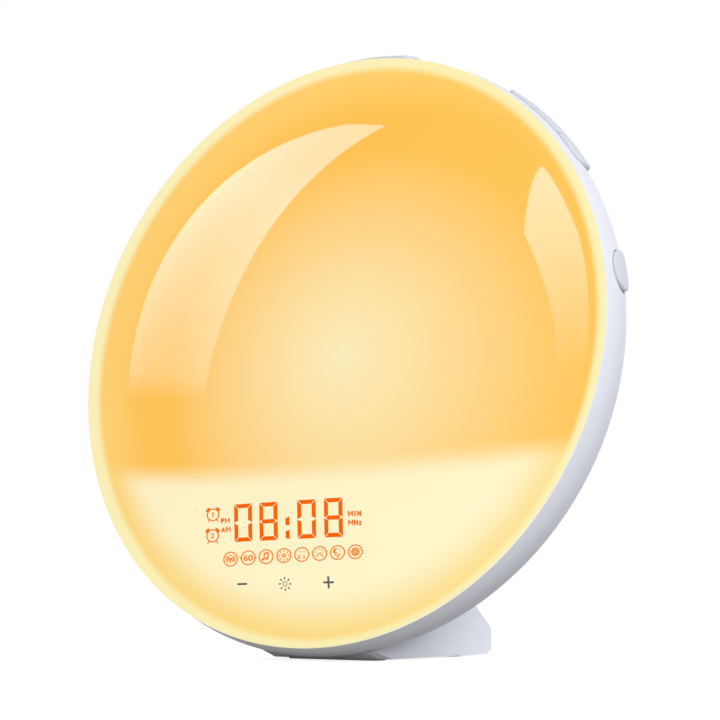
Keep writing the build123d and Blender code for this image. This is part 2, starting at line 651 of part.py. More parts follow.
with BuildPart() as chamber_space:
    with BuildSketch(section):
        with BuildLine():
            floor = TRAY_LEVEL + TRAY_WALL
            edge = TRAY_RADIUS - TRAY_WALL - SEAT
            lean = TRAY_FLARE / (TRAY_TOP - TRAY_LEVEL)
            lip = edge + lean * (TRAY_TOP - floor)
            ceiling = LENS_SPHERE - LENS_WALL - FRONT_GAP
            rim_angle = degrees(acos(lip / ceiling))
            rim_top = dome_center + sqrt(ceiling ** 2 - lip ** 2)
            Polyline((0, floor), (edge, floor), (lip, TRAY_TOP), (lip, rim_top))
            CenterArc((0, dome_center), ceiling, rim_angle, 90 - rim_angle)
            Line((0, dome_center + ceiling), (0, floor))
        make_face()
    revolve(axis=face_axis)

with BuildPart() as display_baffle:
    with BuildSketch(face.offset(floor)):
        with Locations((0, BAFFLE_PLACE)):
            Rectangle(2 * LENS_RADIUS, BAFFLE_WALL)
    extrude(amount=2 * LENS_RISE)
    add(chamber_space.part, mode=Mode.INTERSECT)

save("display_baffle", display_baffle)

with BuildPart() as lamp_board:
    with BuildSketch(face.offset(floor)):
        Circle(LAMP_BOARD_RADIUS)
        with Locations((0, BAFFLE_PLACE + BAFFLE_WALL)):
            Rectangle(2 * LENS_RADIUS, 2 * LENS_RADIUS, align=(Align.CENTER, Align.MIN), mode=Mode.INTERSECT)
    extrude(amount=BOARD)

save("lamp_board", lamp_board)

with BuildPart() as lamp_leds:
    with BuildSketch(face.offset(floor + BOARD)):
        for step in range(LED_RING_COUNT):
            ring = LAMP_BOARD_RADIUS - LED_EDGE - step * LED_RING_PITCH
            with PolarLocations(ring, round(2 * pi * ring / LED_SPACING), start_angle=90):
                Rectangle(LED_LENGTH, LED_LENGTH)
        with Locations((0, BAFFLE_PLACE + BAFFLE_WALL + LED_LENGTH)):
            Rectangle(2 * LENS_RADIUS, 2 * LENS_RADIUS, align=(Align.CENTER, Align.MIN), mode=Mode.INTERSECT)
    extrude(amount=LED_HEIGHT)

save("lamp_leds", lamp_leds)

# ---------------------------------------------------------------- display

with BuildPart() as display_board:
    with BuildSketch(face.offset(floor)):
        Circle(DISPLAY_BOARD_RADIUS)
        with Locations((0, (DISPLAY_TOP + DISPLAY_BOTTOM) / 2)):
            Rectangle(2 * DISPLAY_HALF, DISPLAY_TOP - DISPLAY_BOTTOM, mode=Mode.INTERSECT)
    extrude(amount=BOARD)

save("display_board", display_board)

board_top = floor + BOARD
digit_reach = sqrt((DIGIT_BLOCK_LENGTH / 2) ** 2 + (DIGIT_CENTER - DIGIT_BLOCK_WIDTH / 2) ** 2)
digit_level = dome_height(digit_reach) - FRONT_GAP
icon_reach = sqrt((ICON_COUNT * ICON_PITCH / 2) ** 2 + (ICON_ROW - ICON_BAR_WIDTH / 2) ** 2)
icon_level = dome_height(icon_reach) - FRONT_GAP


def digit_sketch(place):
    """The seven bars of one digit, centred at a place along the row."""
    with Locations((place, DIGIT_CENTER)):
        rise = (DIGIT_HEIGHT - DIGIT_STROKE) / 2
        reach = (DIGIT_WIDTH - DIGIT_STROKE) / 2
        with Locations((0, 0), (0, rise), (0, -rise)):
            Rectangle(DIGIT_WIDTH - 2 * (DIGIT_STROKE + DIGIT_BREAK), DIGIT_STROKE)
        with Locations((-reach, rise / 2), (reach, rise / 2), (-reach, -rise / 2), (reach, -rise / 2)):
            Rectangle(DIGIT_STROKE, rise - 2 * DIGIT_BREAK)


digit_places = [
    side * (DIGIT_PITCH * step + DIGIT_WIDTH / 2 + COLON_SPACE / 2)
    for side, step in ((-1, 1), (-1, 0), (1, 0), (1, 1))
]

with BuildPart() as digit_segments:
    with BuildSketch(face.offset(digit_level - SEGMENT_DEPTH)):
        for place in digit_places:
            digit_sketch(place)
        with Locations((0, DIGIT_CENTER + COLON_RISE), (0, DIGIT_CENTER - COLON_RISE)):
            Rectangle(DIGIT_STROKE, DIGIT_STROKE)
    extrude(amount=SEGMENT_DEPTH)

save("digit_segments", digit_segments)

with BuildPart() as digit_block:
    with BuildSketch(face.offset(board_top)):
        with Locations((0, DIGIT_CENTER)):
            Rectangle(DIGIT_BLOCK_LENGTH, DIGIT_BLOCK_WIDTH)
    extrude(amount=digit_level - board_top)
    add(digit_segments.part, mode=Mode.SUBTRACT)

save("digit_block", digit_block)

with BuildPart() as icon_light_guide:
    with BuildSketch(face.offset(board_top)):
        with Locations((0, ICON_ROW)):
            RectangleRounded(ICON_COUNT * ICON_PITCH + 2 * ICON_BAR_END, ICON_BAR_WIDTH, ICON_BAR_ROUND)
            with GridLocations(ICON_PITCH, 1, ICON_COUNT, 1):
                Circle(ICON_WELL_RADIUS, mode=Mode.SUBTRACT)
    extrude(amount=icon_level - board_top)

save("icon_light_guide", icon_light_guide)

with BuildPart() as icon_leds:
    with BuildSketch(face.offset(board_top)):
        with Locations((0, ICON_ROW)):
            with GridLocations(ICON_PITCH, 1, ICON_COUNT, 1):
                Rectangle(ICON_LED, ICON_LED)
    extrude(amount=LED_HEIGHT)

save("icon_leds", icon_leds)

with BuildPart() as touch_pads:
    with BuildSketch(face.offset(board_top)):
        with Locations((0, TOUCH_ROW)):
            with GridLocations(TOUCH_PITCH, 1, 3, 1):
                Circle(TOUCH_RADIUS)
    extrude(amount=LENS_RISE)
    with BuildSketch(section):
        with BuildLine():
            reach = LENS_SPHERE - LENS_WALL - SEAT
            trim = radians(TOUCH_TRIM)
            end = (reach * sin(trim), dome_center + reach * cos(trim))
            CenterArc((0, dome_center), reach, 90 - TOUCH_TRIM, TOUCH_TRIM)
            Polyline(end, (0, end[1]), (0, dome_center + reach))
        make_face()
    revolve(axis=face_axis, mode=Mode.INTERSECT)

save("touch_pads", touch_pads)

# ---------------------------------------------------------------- main board and what stands on it

board_middle = (MAIN_BOARD_TOP + MAIN_BOARD_BOTTOM) / 2
board_height = MAIN_BOARD_TOP - MAIN_BOARD_BOTTOM
main_top = MAIN_BOARD_LEVEL + BOARD

with BuildPart() as main_board:
    with BuildSketch(face.offset(MAIN_BOARD_LEVEL)):
        with Locations((0, board_middle)):
            Rectangle(MAIN_BOARD_LENGTH, board_height)
            with GridLocations(MAIN_BOARD_LENGTH - 2 * STANDOFF_INSET, board_height - 2 * STANDOFF_INSET, 2, 2):
                Circle(BOARD_SCREW_RADIUS + SEAT, mode=Mode.SUBTRACT)
    extrude(amount=BOARD)

save("main_board", main_board)

with BuildPart() as board_screws:
    with BuildSketch(face.offset(main_top)):
        with Locations((0, board_middle)):
            with GridLocations(MAIN_BOARD_LENGTH - 2 * STANDOFF_INSET, board_height - 2 * STANDOFF_INSET, 2, 2):
                Circle(BOARD_SCREW_HEAD)
    extrude(amount=BOARD_SCREW_HEAD_HEIGHT)
    with BuildSketch(face.offset(main_top)):
        with Locations((0, board_middle)):
            with GridLocations(MAIN_BOARD_LENGTH - 2 * STANDOFF_INSET, board_height - 2 * STANDOFF_INSET, 2, 2):
                Circle(BOARD_SCREW_RADIUS)
    extrude(amount=-BOARD_SCREW_LENGTH)

save("board_screws", board_screws)

with BuildPart() as chips:
    for across, up, length, width, height in CHIPS:
        with BuildSketch(face.offset(main_top)):
            with Locations((across, up)):
                Rectangle(length, width)
        extrude(amount=height)

save("chips", chips)

with BuildPart() as capacitors:
    for across, up, radius, height in CAPACITORS:
        with BuildSketch(face.offset(main_top)):
            with Locations((across, up)):
                Circle(radius)
        extrude(amount=height)

save("capacitors", capacitors)

# ---------------------------------------------------------------- coin cell

cell_level = back_inside + FIT
holder_mouth = cell_level + CELL_LUG_THICKNESS + FIT
holder_inner = CELL_RADIUS + FIT

with BuildPart() as coin_cell:
    with BuildSketch(face.offset(cell_level)):
        with Locations(CELL_PLACE):
            Circle(CELL_RADIUS)
    extrude(amount=CELL_HEIGHT)
    fillet(coin_cell.edges().filter_by(GeomType.CIRCLE), radius=CELL_EDGE_ROUND)

save("coin_cell", coin_cell)

contact_level = cell_level + CELL_HEIGHT

with BuildPart() as cell_contact:
    with BuildSketch(face.offset(contact_level)):
        with Locations(CELL_PLACE):
            Rectangle(CELL_RADIUS, CONTACT_WIDTH)
    extrude(amount=CONTACT_THICKNESS)
    with BuildSketch(face.offset(contact_level)):
        with Locations((CELL_PLACE[0] + CELL_RADIUS / 2, CELL_PLACE[1])):
            Rectangle(CONTACT_LEG, CONTACT_WIDTH)
    extrude(amount=MAIN_BOARD_LEVEL - contact_level)

save("cell_contact", cell_contact)

with BuildPart() as cell_holder:
    with BuildSketch(face.offset(holder_mouth)):
        with Locations(CELL_PLACE):
            Circle(holder_inner + CELL_HOLDER_WALL)
            Circle(holder_inner, mode=Mode.SUBTRACT)
    extrude(amount=MAIN_BOARD_LEVEL - holder_mouth)

save("cell_holder", cell_holder)

with BuildPart() as cell_cover:
    with BuildSketch(face.offset(-SHELL_DEPTH)):
        with Locations(CELL_PLACE):
            Circle(CELL_COVER_RADIUS)
    extrude(amount=SHELL_WALL)
    with BuildSketch(face.offset(back_inside)):
        with Locations(CELL_PLACE):
            Circle(CELL_COVER_RADIUS)
            Circle(CELL_RADIUS + FIT, mode=Mode.SUBTRACT)
    extrude(amount=FIT + CELL_LUG_THICKNESS)
    with BuildSketch(face.offset(cell_level)):
        with Locations(CELL_PLACE):
            Rectangle(2 * (CELL_COVER_RADIUS + CELL_LUG), CELL_LUG_WIDTH)
            Circle(CELL_RADIUS + FIT, mode=Mode.SUBTRACT)
    extrude(amount=CELL_LUG_THICKNESS)
    with BuildSketch(face.offset(-SHELL_DEPTH)):
        with Locations(CELL_PLACE):
            SlotOverall(COIN_SLOT_LENGTH, COIN_SLOT_WIDTH)
    extrude(amount=COIN_SLOT_DEPTH, mode=Mode.SUBTRACT)

save("cell_cover", cell_cover)

# ---------------------------------------------------------------- speaker


def speaker_outline():
    """The speaker flange's outline: a ring with four ears."""
    Circle(SPEAKER_RADIUS)
    with PolarLocations(SPEAKER_EAR, 4, start_angle=45):
        Circle(SPEAKER_EAR_RADIUS)
    Circle(SPEAKER_OPENING, mode=Mode.SUBTRACT)
    with PolarLocations(SPEAKER_EAR, 4, start_angle=45):
        Circle(SPEAKER_SCREW_RADIUS + SEAT, mode=Mode.SUBTRACT)


with BuildPart() as speaker_gasket:
    with BuildSketch(face.offset(seat_level)):
        with Locations((0, SPEAKER_PLACE)):
            speaker_outline()
    extrude(amount=SPEAKER_GASKET)

save("speaker_gasket", speaker_gasket)

speaker_section = Plane(origin=face_middle + face_up * SPEAKER_PLACE, x_dir=(1, 0, 0), z_dir=section.z_dir)
speaker_axis = Axis(speaker_section.origin, face_normal)

with BuildPart() as speaker_frame:
    with BuildSketch(face.offset(flange_level)):
        with Locations((0, SPEAKER_PLACE)):
            speaker_outline()
    extrude(amount=SPEAKER_FLANGE)
    with BuildSketch(speaker_section):
        with BuildLine():
            Polyline(
                (SPEAKER_OPENING, flange_level),
                (SPEAKER_OPENING + SPEAKER_FLANGE, flange_level),
                (SPEAKER_OPENING + SPEAKER_FLANGE, basket_level),
                (MAGNET_RADIUS, magnet_level),
                (0, magnet_level),
                (0, magnet_level - SPEAKER_FLANGE),
                (MAGNET_RADIUS - SPEAKER_FLANGE, magnet_level - SPEAKER_FLANGE),
                (SPEAKER_OPENING, basket_level - SPEAKER_FLANGE / 2),
                close=True,
            )
        make_face()
    revolve(axis=speaker_axis)

save("speaker_frame", speaker_frame)

with BuildPart() as speaker_magnet:
    with BuildSketch(face.offset(magnet_level)):
        with Locations((0, SPEAKER_PLACE)):
            Circle(MAGNET_RADIUS)
    extrude(amount=MAGNET_HEIGHT)
    fillet(speaker_magnet.faces().sort_by(face_axis)[-1].edges(), radius=MAGNET_ROUND)

save("speaker_magnet", speaker_magnet)

with BuildPart() as speaker_cone:
    cone_level = flange_level + SPEAKER_BASKET - 2 * SPEAKER_FLANGE
    with BuildSketch(speaker_section):
        with BuildLine():
            Polyline(
                (SPEAKER_OPENING - SEAT, flange_level),
                (SPEAKER_OPENING - SEAT, flange_level + CONE_PAPER),
                (SPEAKER_OPENING - CONE_SURROUND, flange_level + CONE_PAPER),
                (CONE_CAP_RADIUS, cone_level),
                (0, cone_level - CONE_CAP_DIP),
                (0, cone_level - CONE_CAP_DIP - CONE_PAPER),
                (CONE_CAP_RADIUS, cone_level - CONE_PAPER),
                (SPEAKER_OPENING - CONE_SURROUND, flange_level),
                close=True,
            )
        make_face()
    revolve(axis=speaker_axis)

save("speaker_cone", speaker_cone)

with BuildPart() as speaker_screws:
    with BuildSketch(face.offset(basket_level)):
        with Locations((0, SPEAKER_PLACE)):
            with PolarLocations(SPEAKER_EAR, 4, start_angle=45):
                Circle(BOARD_SCREW_HEAD)
    extrude(amount=BOARD_SCREW_HEAD_HEIGHT)
    with BuildSketch(face.offset(basket_level)):
        with Locations((0, SPEAKER_PLACE)):
            with PolarLocations(SPEAKER_EAR, 4, start_angle=45):
                Circle(SPEAKER_SCREW_RADIUS)
    extrude(amount=-(SPEAKER_FLANGE + SPEAKER_GASKET + SPEAKER_SEAT - SEAT))

save("speaker_screws", speaker_screws)

# ---------------------------------------------------------------- sockets

with BuildPart() as power_inlet:
    with BuildSketch(face.offset(back_inside)):
        with Locations(JACK_PLACE):
            Rectangle(JACK_SIZE, JACK_SIZE)
    extrude(amount=MAIN_BOARD_LEVEL - back_inside)
    with BuildSketch(face.offset(back_inside)):
        with Locations(JACK_PLACE):
            Circle(JACK_NECK_RADIUS)
    extrude(amount=-SHELL_WALL)
    with BuildSketch(face.offset(-SHELL_DEPTH)):
        with Locations(JACK_PLACE):
            Circle(JACK_WELL_RADIUS)
    extrude(amount=JACK_WELL_DEPTH, mode=Mode.SUBTRACT)

save("power_inlet", power_inlet)

with BuildPart() as inlet_pin:
    with BuildSketch(face.offset(-SHELL_DEPTH + JACK_WELL_DEPTH)):
        with Locations(JACK_PLACE):
            Circle(JACK_PIN_RADIUS)
    extrude(amount=-JACK_WELL_DEPTH + SHELL_WALL)
    fillet(inlet_pin.faces().sort_by(face_axis)[0].edges(), radius=JACK_PIN_ROUND)

save("inlet_pin", inlet_pin)

with BuildPart() as charging_socket:
    with BuildSketch(face.offset(-SHELL_DEPTH)):
        with Locations(SOCKET_PLACE):
            Rectangle(SOCKET_LENGTH, SOCKET_WIDTH)
            Rectangle(SOCKET_LENGTH - 2 * SOCKET_WALL, SOCKET_WIDTH - 2 * SOCKET_WALL, mode=Mode.SUBTRACT)
    extrude(amount=MAIN_BOARD_LEVEL + SHELL_DEPTH)

save("charging_socket", charging_socket)

with BuildPart() as socket_tongue:
    with BuildSketch(face.offset(MAIN_BOARD_LEVEL)):
        with Locations(SOCKET_PLACE):
            Rectangle(SOCKET_LENGTH - 2 * SOCKET_WALL, SOCKET_WIDTH - 2 * SOCKET_WALL)
    extrude(amount=-SOCKET_TONGUE)
    with BuildSketch(face.offset(MAIN_BOARD_LEVEL - SOCKET_TONGUE)):
        with Locations((SOCKET_PLACE[0], SOCKET_PLACE[1] + SOCKET_TONGUE / 2)):
            Rectangle(SOCKET_LENGTH - 2 * (SOCKET_WALL + SOCKET_TONGUE_SIDE), SOCKET_TONGUE)
    extrude(amount=-(MAIN_BOARD_LEVEL - SOCKET_TONGUE + SHELL_DEPTH - SOCKET_TONGUE_SETBACK))

save("socket_tongue", socket_tongue)

with BuildPart() as antenna_grommet:
    with BuildSketch(face.offset(-SHELL_DEPTH)):
        with Locations(GLAND_PLACE):
            Circle(GLAND_RADIUS)
    extrude(amount=SHELL_WALL)
    with BuildSketch(face.offset(back_inside)):
        with Locations(GLAND_PLACE):
            Circle(GLAND_RADIUS + GLAND_FLANGE)
    extrude(amount=GLAND_FLANGE)
    with BuildSketch(face.offset(-SHELL_DEPTH)):
        with Locations(GLAND_PLACE):
            Circle(GLAND_WIRE_RADIUS)
    extrude(amount=SHELL_WALL + GLAND_FLANGE, mode=Mode.SUBTRACT)

save("antenna_grommet", antenna_grommet)

# ---------------------------------------------------------------- cables held inside


def face_side(across):
    """A plane across the face at a distance from its middle: local x up the face, local y to the front."""
    return Plane(origin=face_middle + Vector(across, 0, 0), x_dir=face_up, z_dir=(1, 0, 0))


ribbon_start = DISPLAY_TOP - RIBBON_SETBACK
cable_level = main_top + CABLE_RISE

with BuildPart() as ribbon_cable:
    with BuildSketch(face_side(0)):
        with BuildLine():
            FilletPolyline(
                (ribbon_start, floor),
                (ribbon_start, cable_level),
                (RIBBON_END, cable_level),
                (RIBBON_END, main_top),
                radius=RIBBON_BEND,
            )
        trace(line_width=RIBBON_THICKNESS)
    extrude(amount=RIBBON_WIDTH / 2, both=True)

save("ribbon_cable", ribbon_cable)

lead_start = SPEAKER_PLACE - SPEAKER_RADIUS + LEAD_INSET

with BuildPart() as speaker_leads:
    for across in (-LEAD_SPREAD, LEAD_SPREAD):
        with BuildLine(face_side(across)) as route:
            FilletPolyline(
                (lead_start, basket_level),
                (lead_start, cable_level),
                (MAIN_BOARD_TOP - STANDOFF_INSET, cable_level),
                (MAIN_BOARD_TOP - STANDOFF_INSET, main_top),
                radius=LEAD_BEND,
            )
        with BuildSketch(Plane(origin=route.line @ 0, z_dir=route.line % 0)):
            Circle(LEAD_RADIUS)
        sweep(path=route.line)

save("speaker_leads", speaker_leads)

# ---------------------------------------------------------------- screws that hold the shell to the tray

with BuildPart() as shell_screws:
    with BuildSketch(face.offset(SHELL_RECESS_FLOOR)):
        with Locations(*SHELL_SCREW_PLACES):
            Circle(SHELL_SCREW_HEAD)
    extrude(amount=-SHELL_SCREW_HEAD_HEIGHT)
    with BuildSketch(face.offset(SHELL_RECESS_FLOOR)):
        with Locations(*SHELL_SCREW_PLACES):
            Circle(SHELL_SCREW_RADIUS)
    extrude(amount=SHELL_SCREW_LENGTH)
    with BuildSketch(face.offset(SHELL_RECESS_FLOOR - SHELL_SCREW_HEAD_HEIGHT)):
        for turn in (0, 90):
            with Locations(*SHELL_SCREW_PLACES):
                with Locations(Rotation(0, 0, turn)):
                    Rectangle(SHELL_SCREW_HEAD, SHELL_SCREW_SLOT)
    extrude(amount=SHELL_SCREW_HEAD_HEIGHT / 2, mode=Mode.SUBTRACT)

save("shell_screws", shell_screws)

# ---------------------------------------------------------------- foot

sole = Plane(origin=(0, FACE_Y, sole_level))
foot_side = Plane(origin=(0, FACE_Y, sole_level), x_dir=(0, 1, 0), z_dir=(1, 0, 0))
foot_nose = FOOT_FRONT - FOOT_NOSE
foot_spread = (FOOT_REAR_HALF - FOOT_CORNER_HALF) / (FOOT_REAR - FOOT_FRONT - FOOT_CORNER_CUT)


def half_width(place):
    """Half the foot's width at a place along Y."""
    return FOOT_REAR_HALF - foot_spread * (FOOT_REAR - place)


def foot_wedge(front, inset):
    """The foot's wedge from a front plane to its rear, its walls moved inward, as it runs into the shell."""
    with BuildPart() as wedge:
        with BuildSketch(sole) as plan:
            with BuildLine():
                Polyline(
                    (-half_width(front), front),
                    (half_width(front), front),
                    (FOOT_REAR_HALF, FOOT_REAR),
                    (-FOOT_REAR_HALF, FOOT_REAR),
                    close=True,
                )
            make_face()
            fillet(plan.vertices().group_by(Axis.Y)[-1], radius=FOOT_ROUND)
            if inset:
                offset(amount=-inset)
        extrude(amount=FOOT_TOP)
        with BuildSketch(foot_side) as profile:
            slope = tan(radians(FOOT_SLOPE))
            with BuildLine():
                Polyline(
                    (front, 0),
                    (FOOT_REAR - FOOT_HEEL_RUN, 0),
                    (FOOT_REAR, FOOT_HEEL_UNDERCUT),
                    (FOOT_REAR, FOOT_HEEL),
                    (FOOT_REAR - (FOOT_TOP - FOOT_HEEL) / slope, FOOT_TOP),
                    (front, FOOT_TOP),
                    close=True,
                )
            make_face()
            fillet(profile.vertices().group_by(Axis.Y)[-1], radius=FOOT_HEEL_ROUND)
            if inset:
                offset(amount=-inset)
        extrude(amount=FOOT_REAR_HALF, both=True, mode=Mode.INTERSECT)
    return wedge.part


foot_outer = foot_wedge(foot_nose, 0)

with BuildPart() as foot_bosses:
    with BuildSketch(foot_screw_plane.offset(-SHELL_WALL)):
        with Locations((FOOT_SCREW_SPREAD, 0), (-FOOT_SCREW_SPREAD, 0)):
            Circle(FOOT_BOSS_RADIUS)
    extrude(amount=SHELL_WALL + FOOT_BOSS_LENGTH)
    add(foot_outer, mode=Mode.INTERSECT)

with BuildPart() as stand_foot:
    add(foot_outer)
    # the sole's front edge and its two corner cuts run forward and up as a ramp
    with BuildSketch(sole):
        with BuildLine():
            reach = 2 * FOOT_CORNER_HALF
            corner = FOOT_FRONT + FOOT_CORNER_CUT
            lean = (FOOT_CORNER_HALF - FOOT_FRONT_HALF) / FOOT_CORNER_CUT
            far = FOOT_FRONT + (reach - FOOT_FRONT_HALF) / lean
            Polyline(
                (-FOOT_FRONT_HALF, FOOT_FRONT),
                (FOOT_FRONT_HALF, FOOT_FRONT),
                (reach, far),
                (reach, foot_nose - FOOT_RAMP),
                (-reach, foot_nose - FOOT_RAMP),
                (-reach, far),
                close=True,
            )
        make_face()
    ramp = Vector(0, -FOOT_RAMP, FOOT_RAMP_RISE)
    extrude(amount=ramp.length, dir=ramp.normalized(), mode=Mode.SUBTRACT)
    add(foot_wedge(FOOT_CAVITY_FRONT, FOOT_WALL), mode=Mode.SUBTRACT)
    add(foot_bosses.part)
    add(shell_form(SEAT), mode=Mode.SUBTRACT)
    with BuildSketch(foot_screw_plane.offset(-SHELL_WALL)):
        with Locations((FOOT_SCREW_SPREAD, 0), (-FOOT_SCREW_SPREAD, 0)):
            Circle(FOOT_SCREW_RADIUS + SCREW_FIT)
    extrude(amount=FOOT_SCREW_LENGTH - FOOT_SCREW_PAD + SEAT, mode=Mode.SUBTRACT)
    with BuildSketch(sole):
        with Locations((0, FRONT_PAD_PLACE)):
            SlotOverall(FRONT_PAD_LENGTH + 2 * SEAT, PAD_WIDTH + 2 * SEAT)
        with Locations((REAR_PAD_SPREAD, REAR_PAD_PLACE), (-REAR_PAD_SPREAD, REAR_PAD_PLACE)):
            Circle(PAD_WIDTH / 2 + SEAT)
    extrude(amount=PAD_THICKNESS - FOOT_PAD_PROUD, mode=Mode.SUBTRACT)

save("stand_foot", stand_foot)

with BuildPart() as foot_pads:
    with BuildSketch(sole.offset(-FOOT_PAD_PROUD)):
        with Locations((0, FRONT_PAD_PLACE)):
            SlotOverall(FRONT_PAD_LENGTH, PAD_WIDTH)
        with Locations((REAR_PAD_SPREAD, REAR_PAD_PLACE), (-REAR_PAD_SPREAD, REAR_PAD_PLACE)):
            Circle(PAD_WIDTH / 2)
    extrude(amount=PAD_THICKNESS)

save("foot_pads", foot_pads)

with BuildPart() as foot_screws:
    head_level = -SHELL_WALL - FOOT_SCREW_PAD
    with BuildSketch(foot_screw_plane.offset(head_level)):
        with Locations((FOOT_SCREW_SPREAD, 0), (-FOOT_SCREW_SPREAD, 0)):
            Circle(FOOT_SCREW_HEAD)
    extrude(amount=-FOOT_SCREW_HEAD_HEIGHT)
    with BuildSketch(foot_screw_plane.offset(head_level)):
        with Locations((FOOT_SCREW_SPREAD, 0), (-FOOT_SCREW_SPREAD, 0)):
            Circle(FOOT_SCREW_RADIUS)
    extrude(amount=FOOT_SCREW_LENGTH)

save("foot_screws", foot_screws)
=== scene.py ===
import json
import math

import bpy
from mathutils import Matrix, Vector


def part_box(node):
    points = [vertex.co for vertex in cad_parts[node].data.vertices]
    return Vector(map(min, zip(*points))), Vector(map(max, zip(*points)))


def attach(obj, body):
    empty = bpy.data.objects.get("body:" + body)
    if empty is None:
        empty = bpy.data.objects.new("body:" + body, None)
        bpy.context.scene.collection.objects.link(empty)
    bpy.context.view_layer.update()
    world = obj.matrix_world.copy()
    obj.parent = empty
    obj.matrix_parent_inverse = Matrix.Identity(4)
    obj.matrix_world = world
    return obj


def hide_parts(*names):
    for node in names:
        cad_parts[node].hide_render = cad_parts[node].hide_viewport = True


bl_info = {
    "name": "Sunrise alarm clock",
    "version": (1, 0, 0),
    "blender": (4, 5, 0),
    "location": "View3D > Sidebar > Sunrise clock",
    "description": "Lit lens, display signs, housing finishes and stage of a sunrise alarm clock",
    "category": "Object",
}

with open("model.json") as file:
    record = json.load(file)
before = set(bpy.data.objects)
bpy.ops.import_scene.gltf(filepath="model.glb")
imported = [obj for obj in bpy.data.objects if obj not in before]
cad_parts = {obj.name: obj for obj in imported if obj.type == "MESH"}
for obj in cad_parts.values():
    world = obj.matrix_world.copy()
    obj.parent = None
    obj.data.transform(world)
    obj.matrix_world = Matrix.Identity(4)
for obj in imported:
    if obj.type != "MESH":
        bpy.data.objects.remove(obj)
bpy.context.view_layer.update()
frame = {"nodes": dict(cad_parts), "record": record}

MM = 0.001
LENS_LOW, LENS_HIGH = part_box("front_lens")
FACE_TILT = math.radians(7)  # the face leans back from upright
FACE_MIDDLE = Vector((0, -19.2976 * MM, 92.9484 * MM))
FACE_TURN = math.pi / 2 - FACE_TILT  # about X, from the drawing plane to the face
FACE_PLACE = Matrix.Translation(FACE_MIDDLE) @ Matrix.Rotation(FACE_TURN, 4, "X")


def linear(hex_colour):
    """The linear colour of an sRGB hex value, with full alpha."""
    channels = [int(hex_colour[i : i + 2], 16) / 255 for i in (1, 3, 5)]
    return [c / 12.92 if c <= 0.04045 else ((c + 0.055) / 1.055) ** 2.4 for c in channels] + [1.0]


# ---------------------------------------------------------------- settings


class LensSettings(bpy.types.PropertyGroup):
    """Sizes and light of the domed lens."""

    radius: bpy.props.FloatProperty(
        name="Lens radius", description="Radius of the lens at its rim",
        default=(LENS_HIGH.x - LENS_LOW.x) / 2, subtype="DISTANCE", unit="LENGTH",
    )
    rise: bpy.props.FloatProperty(
        name="Dome rise", description="Height of the dome over the face plane",
        default=16.32 * MM, subtype="DISTANCE", unit="LENGTH",
    )
    dome_radius: bpy.props.FloatProperty(
        name="Dome radius", description="Radius of the sphere that the dome is part of",
        default=296 * MM, subtype="DISTANCE", unit="LENGTH",
    )
    wall: bpy.props.FloatProperty(
        name="Wall", description="Thickness of the opal acrylic",
        default=2.2 * MM, subtype="DISTANCE", unit="LENGTH",
    )
    edge_round: bpy.props.FloatProperty(
        name="Edge round", description="Radius of the rounded edge between dome and rim",
        default=1.4 * MM, subtype="DISTANCE", unit="LENGTH",
    )
    lip_inset: bpy.props.FloatProperty(
        name="Lip inset", description="How far the locating lip stands in from the rim",
        default=2.4 * MM, subtype="DISTANCE", unit="LENGTH",
    )
    lip_wall: bpy.props.FloatProperty(
        name="Lip wall", description="Thickness of the locating lip",
        default=1.6 * MM, subtype="DISTANCE", unit="LENGTH",
    )
    lip_depth: bpy.props.FloatProperty(
        name="Lip depth", description="How deep the locating lip reaches into the shell",
        default=1.4 * MM, subtype="DISTANCE", unit="LENGTH",
    )
    steps: bpy.props.IntProperty(
        name="Steps", description="Steps of the spin round the lens", default=192, min=48,
    )
    brightness: bpy.props.FloatProperty(
        name="Brightness", description="Strength of the light that comes through the lens",
        default=0.97, min=0.0, max=2.0,
    )
    glow_colour: bpy.props.FloatVectorProperty(
        name="Glow colour", description="Pale light at the middle of the glow",
        default=linear("#FCECBA")[:3], subtype="COLOR", min=0.0, max=1.0,
    )
    amber_colour: bpy.props.FloatVectorProperty(
        name="Amber colour", description="Deeper light round the glow",
        default=linear("#FFC55C")[:3], subtype="COLOR", min=0.0, max=1.0,
    )
    outer_colour: bpy.props.FloatVectorProperty(
        name="Outer colour", description="Lighter amber toward the rim",
        default=linear("#FFD272")[:3], subtype="COLOR", min=0.0, max=1.0,
    )
    window_colour: bpy.props.FloatVectorProperty(
        name="Window colour", description="Pale light over the display",
        default=linear("#FFF2C6")[:3], subtype="COLOR", min=0.0, max=1.0,
    )
    window_edge_colour: bpy.props.FloatVectorProperty(
        name="Window edge colour", description="Light at the end of the window by the rim",
        default=linear("#FDD880")[:3], subtype="COLOR", min=0.0, max=1.0,
    )
    rim_colour: bpy.props.FloatVectorProperty(
        name="Rim colour", description="Pale band of light inside the rim",
        default=linear("#FCF0B5")[:3], subtype="COLOR", min=0.0, max=1.0,
    )
    # painted highlight: the lens's edge beside the shell glows bluish white in this colour
    edge_highlight_colour: bpy.props.FloatVectorProperty(
        name="Edge colour", description="Unlit edge of the lens beside the shell",
        default=linear("#E4F0F3")[:3], subtype="COLOR", min=0.0, max=1.0,
    )


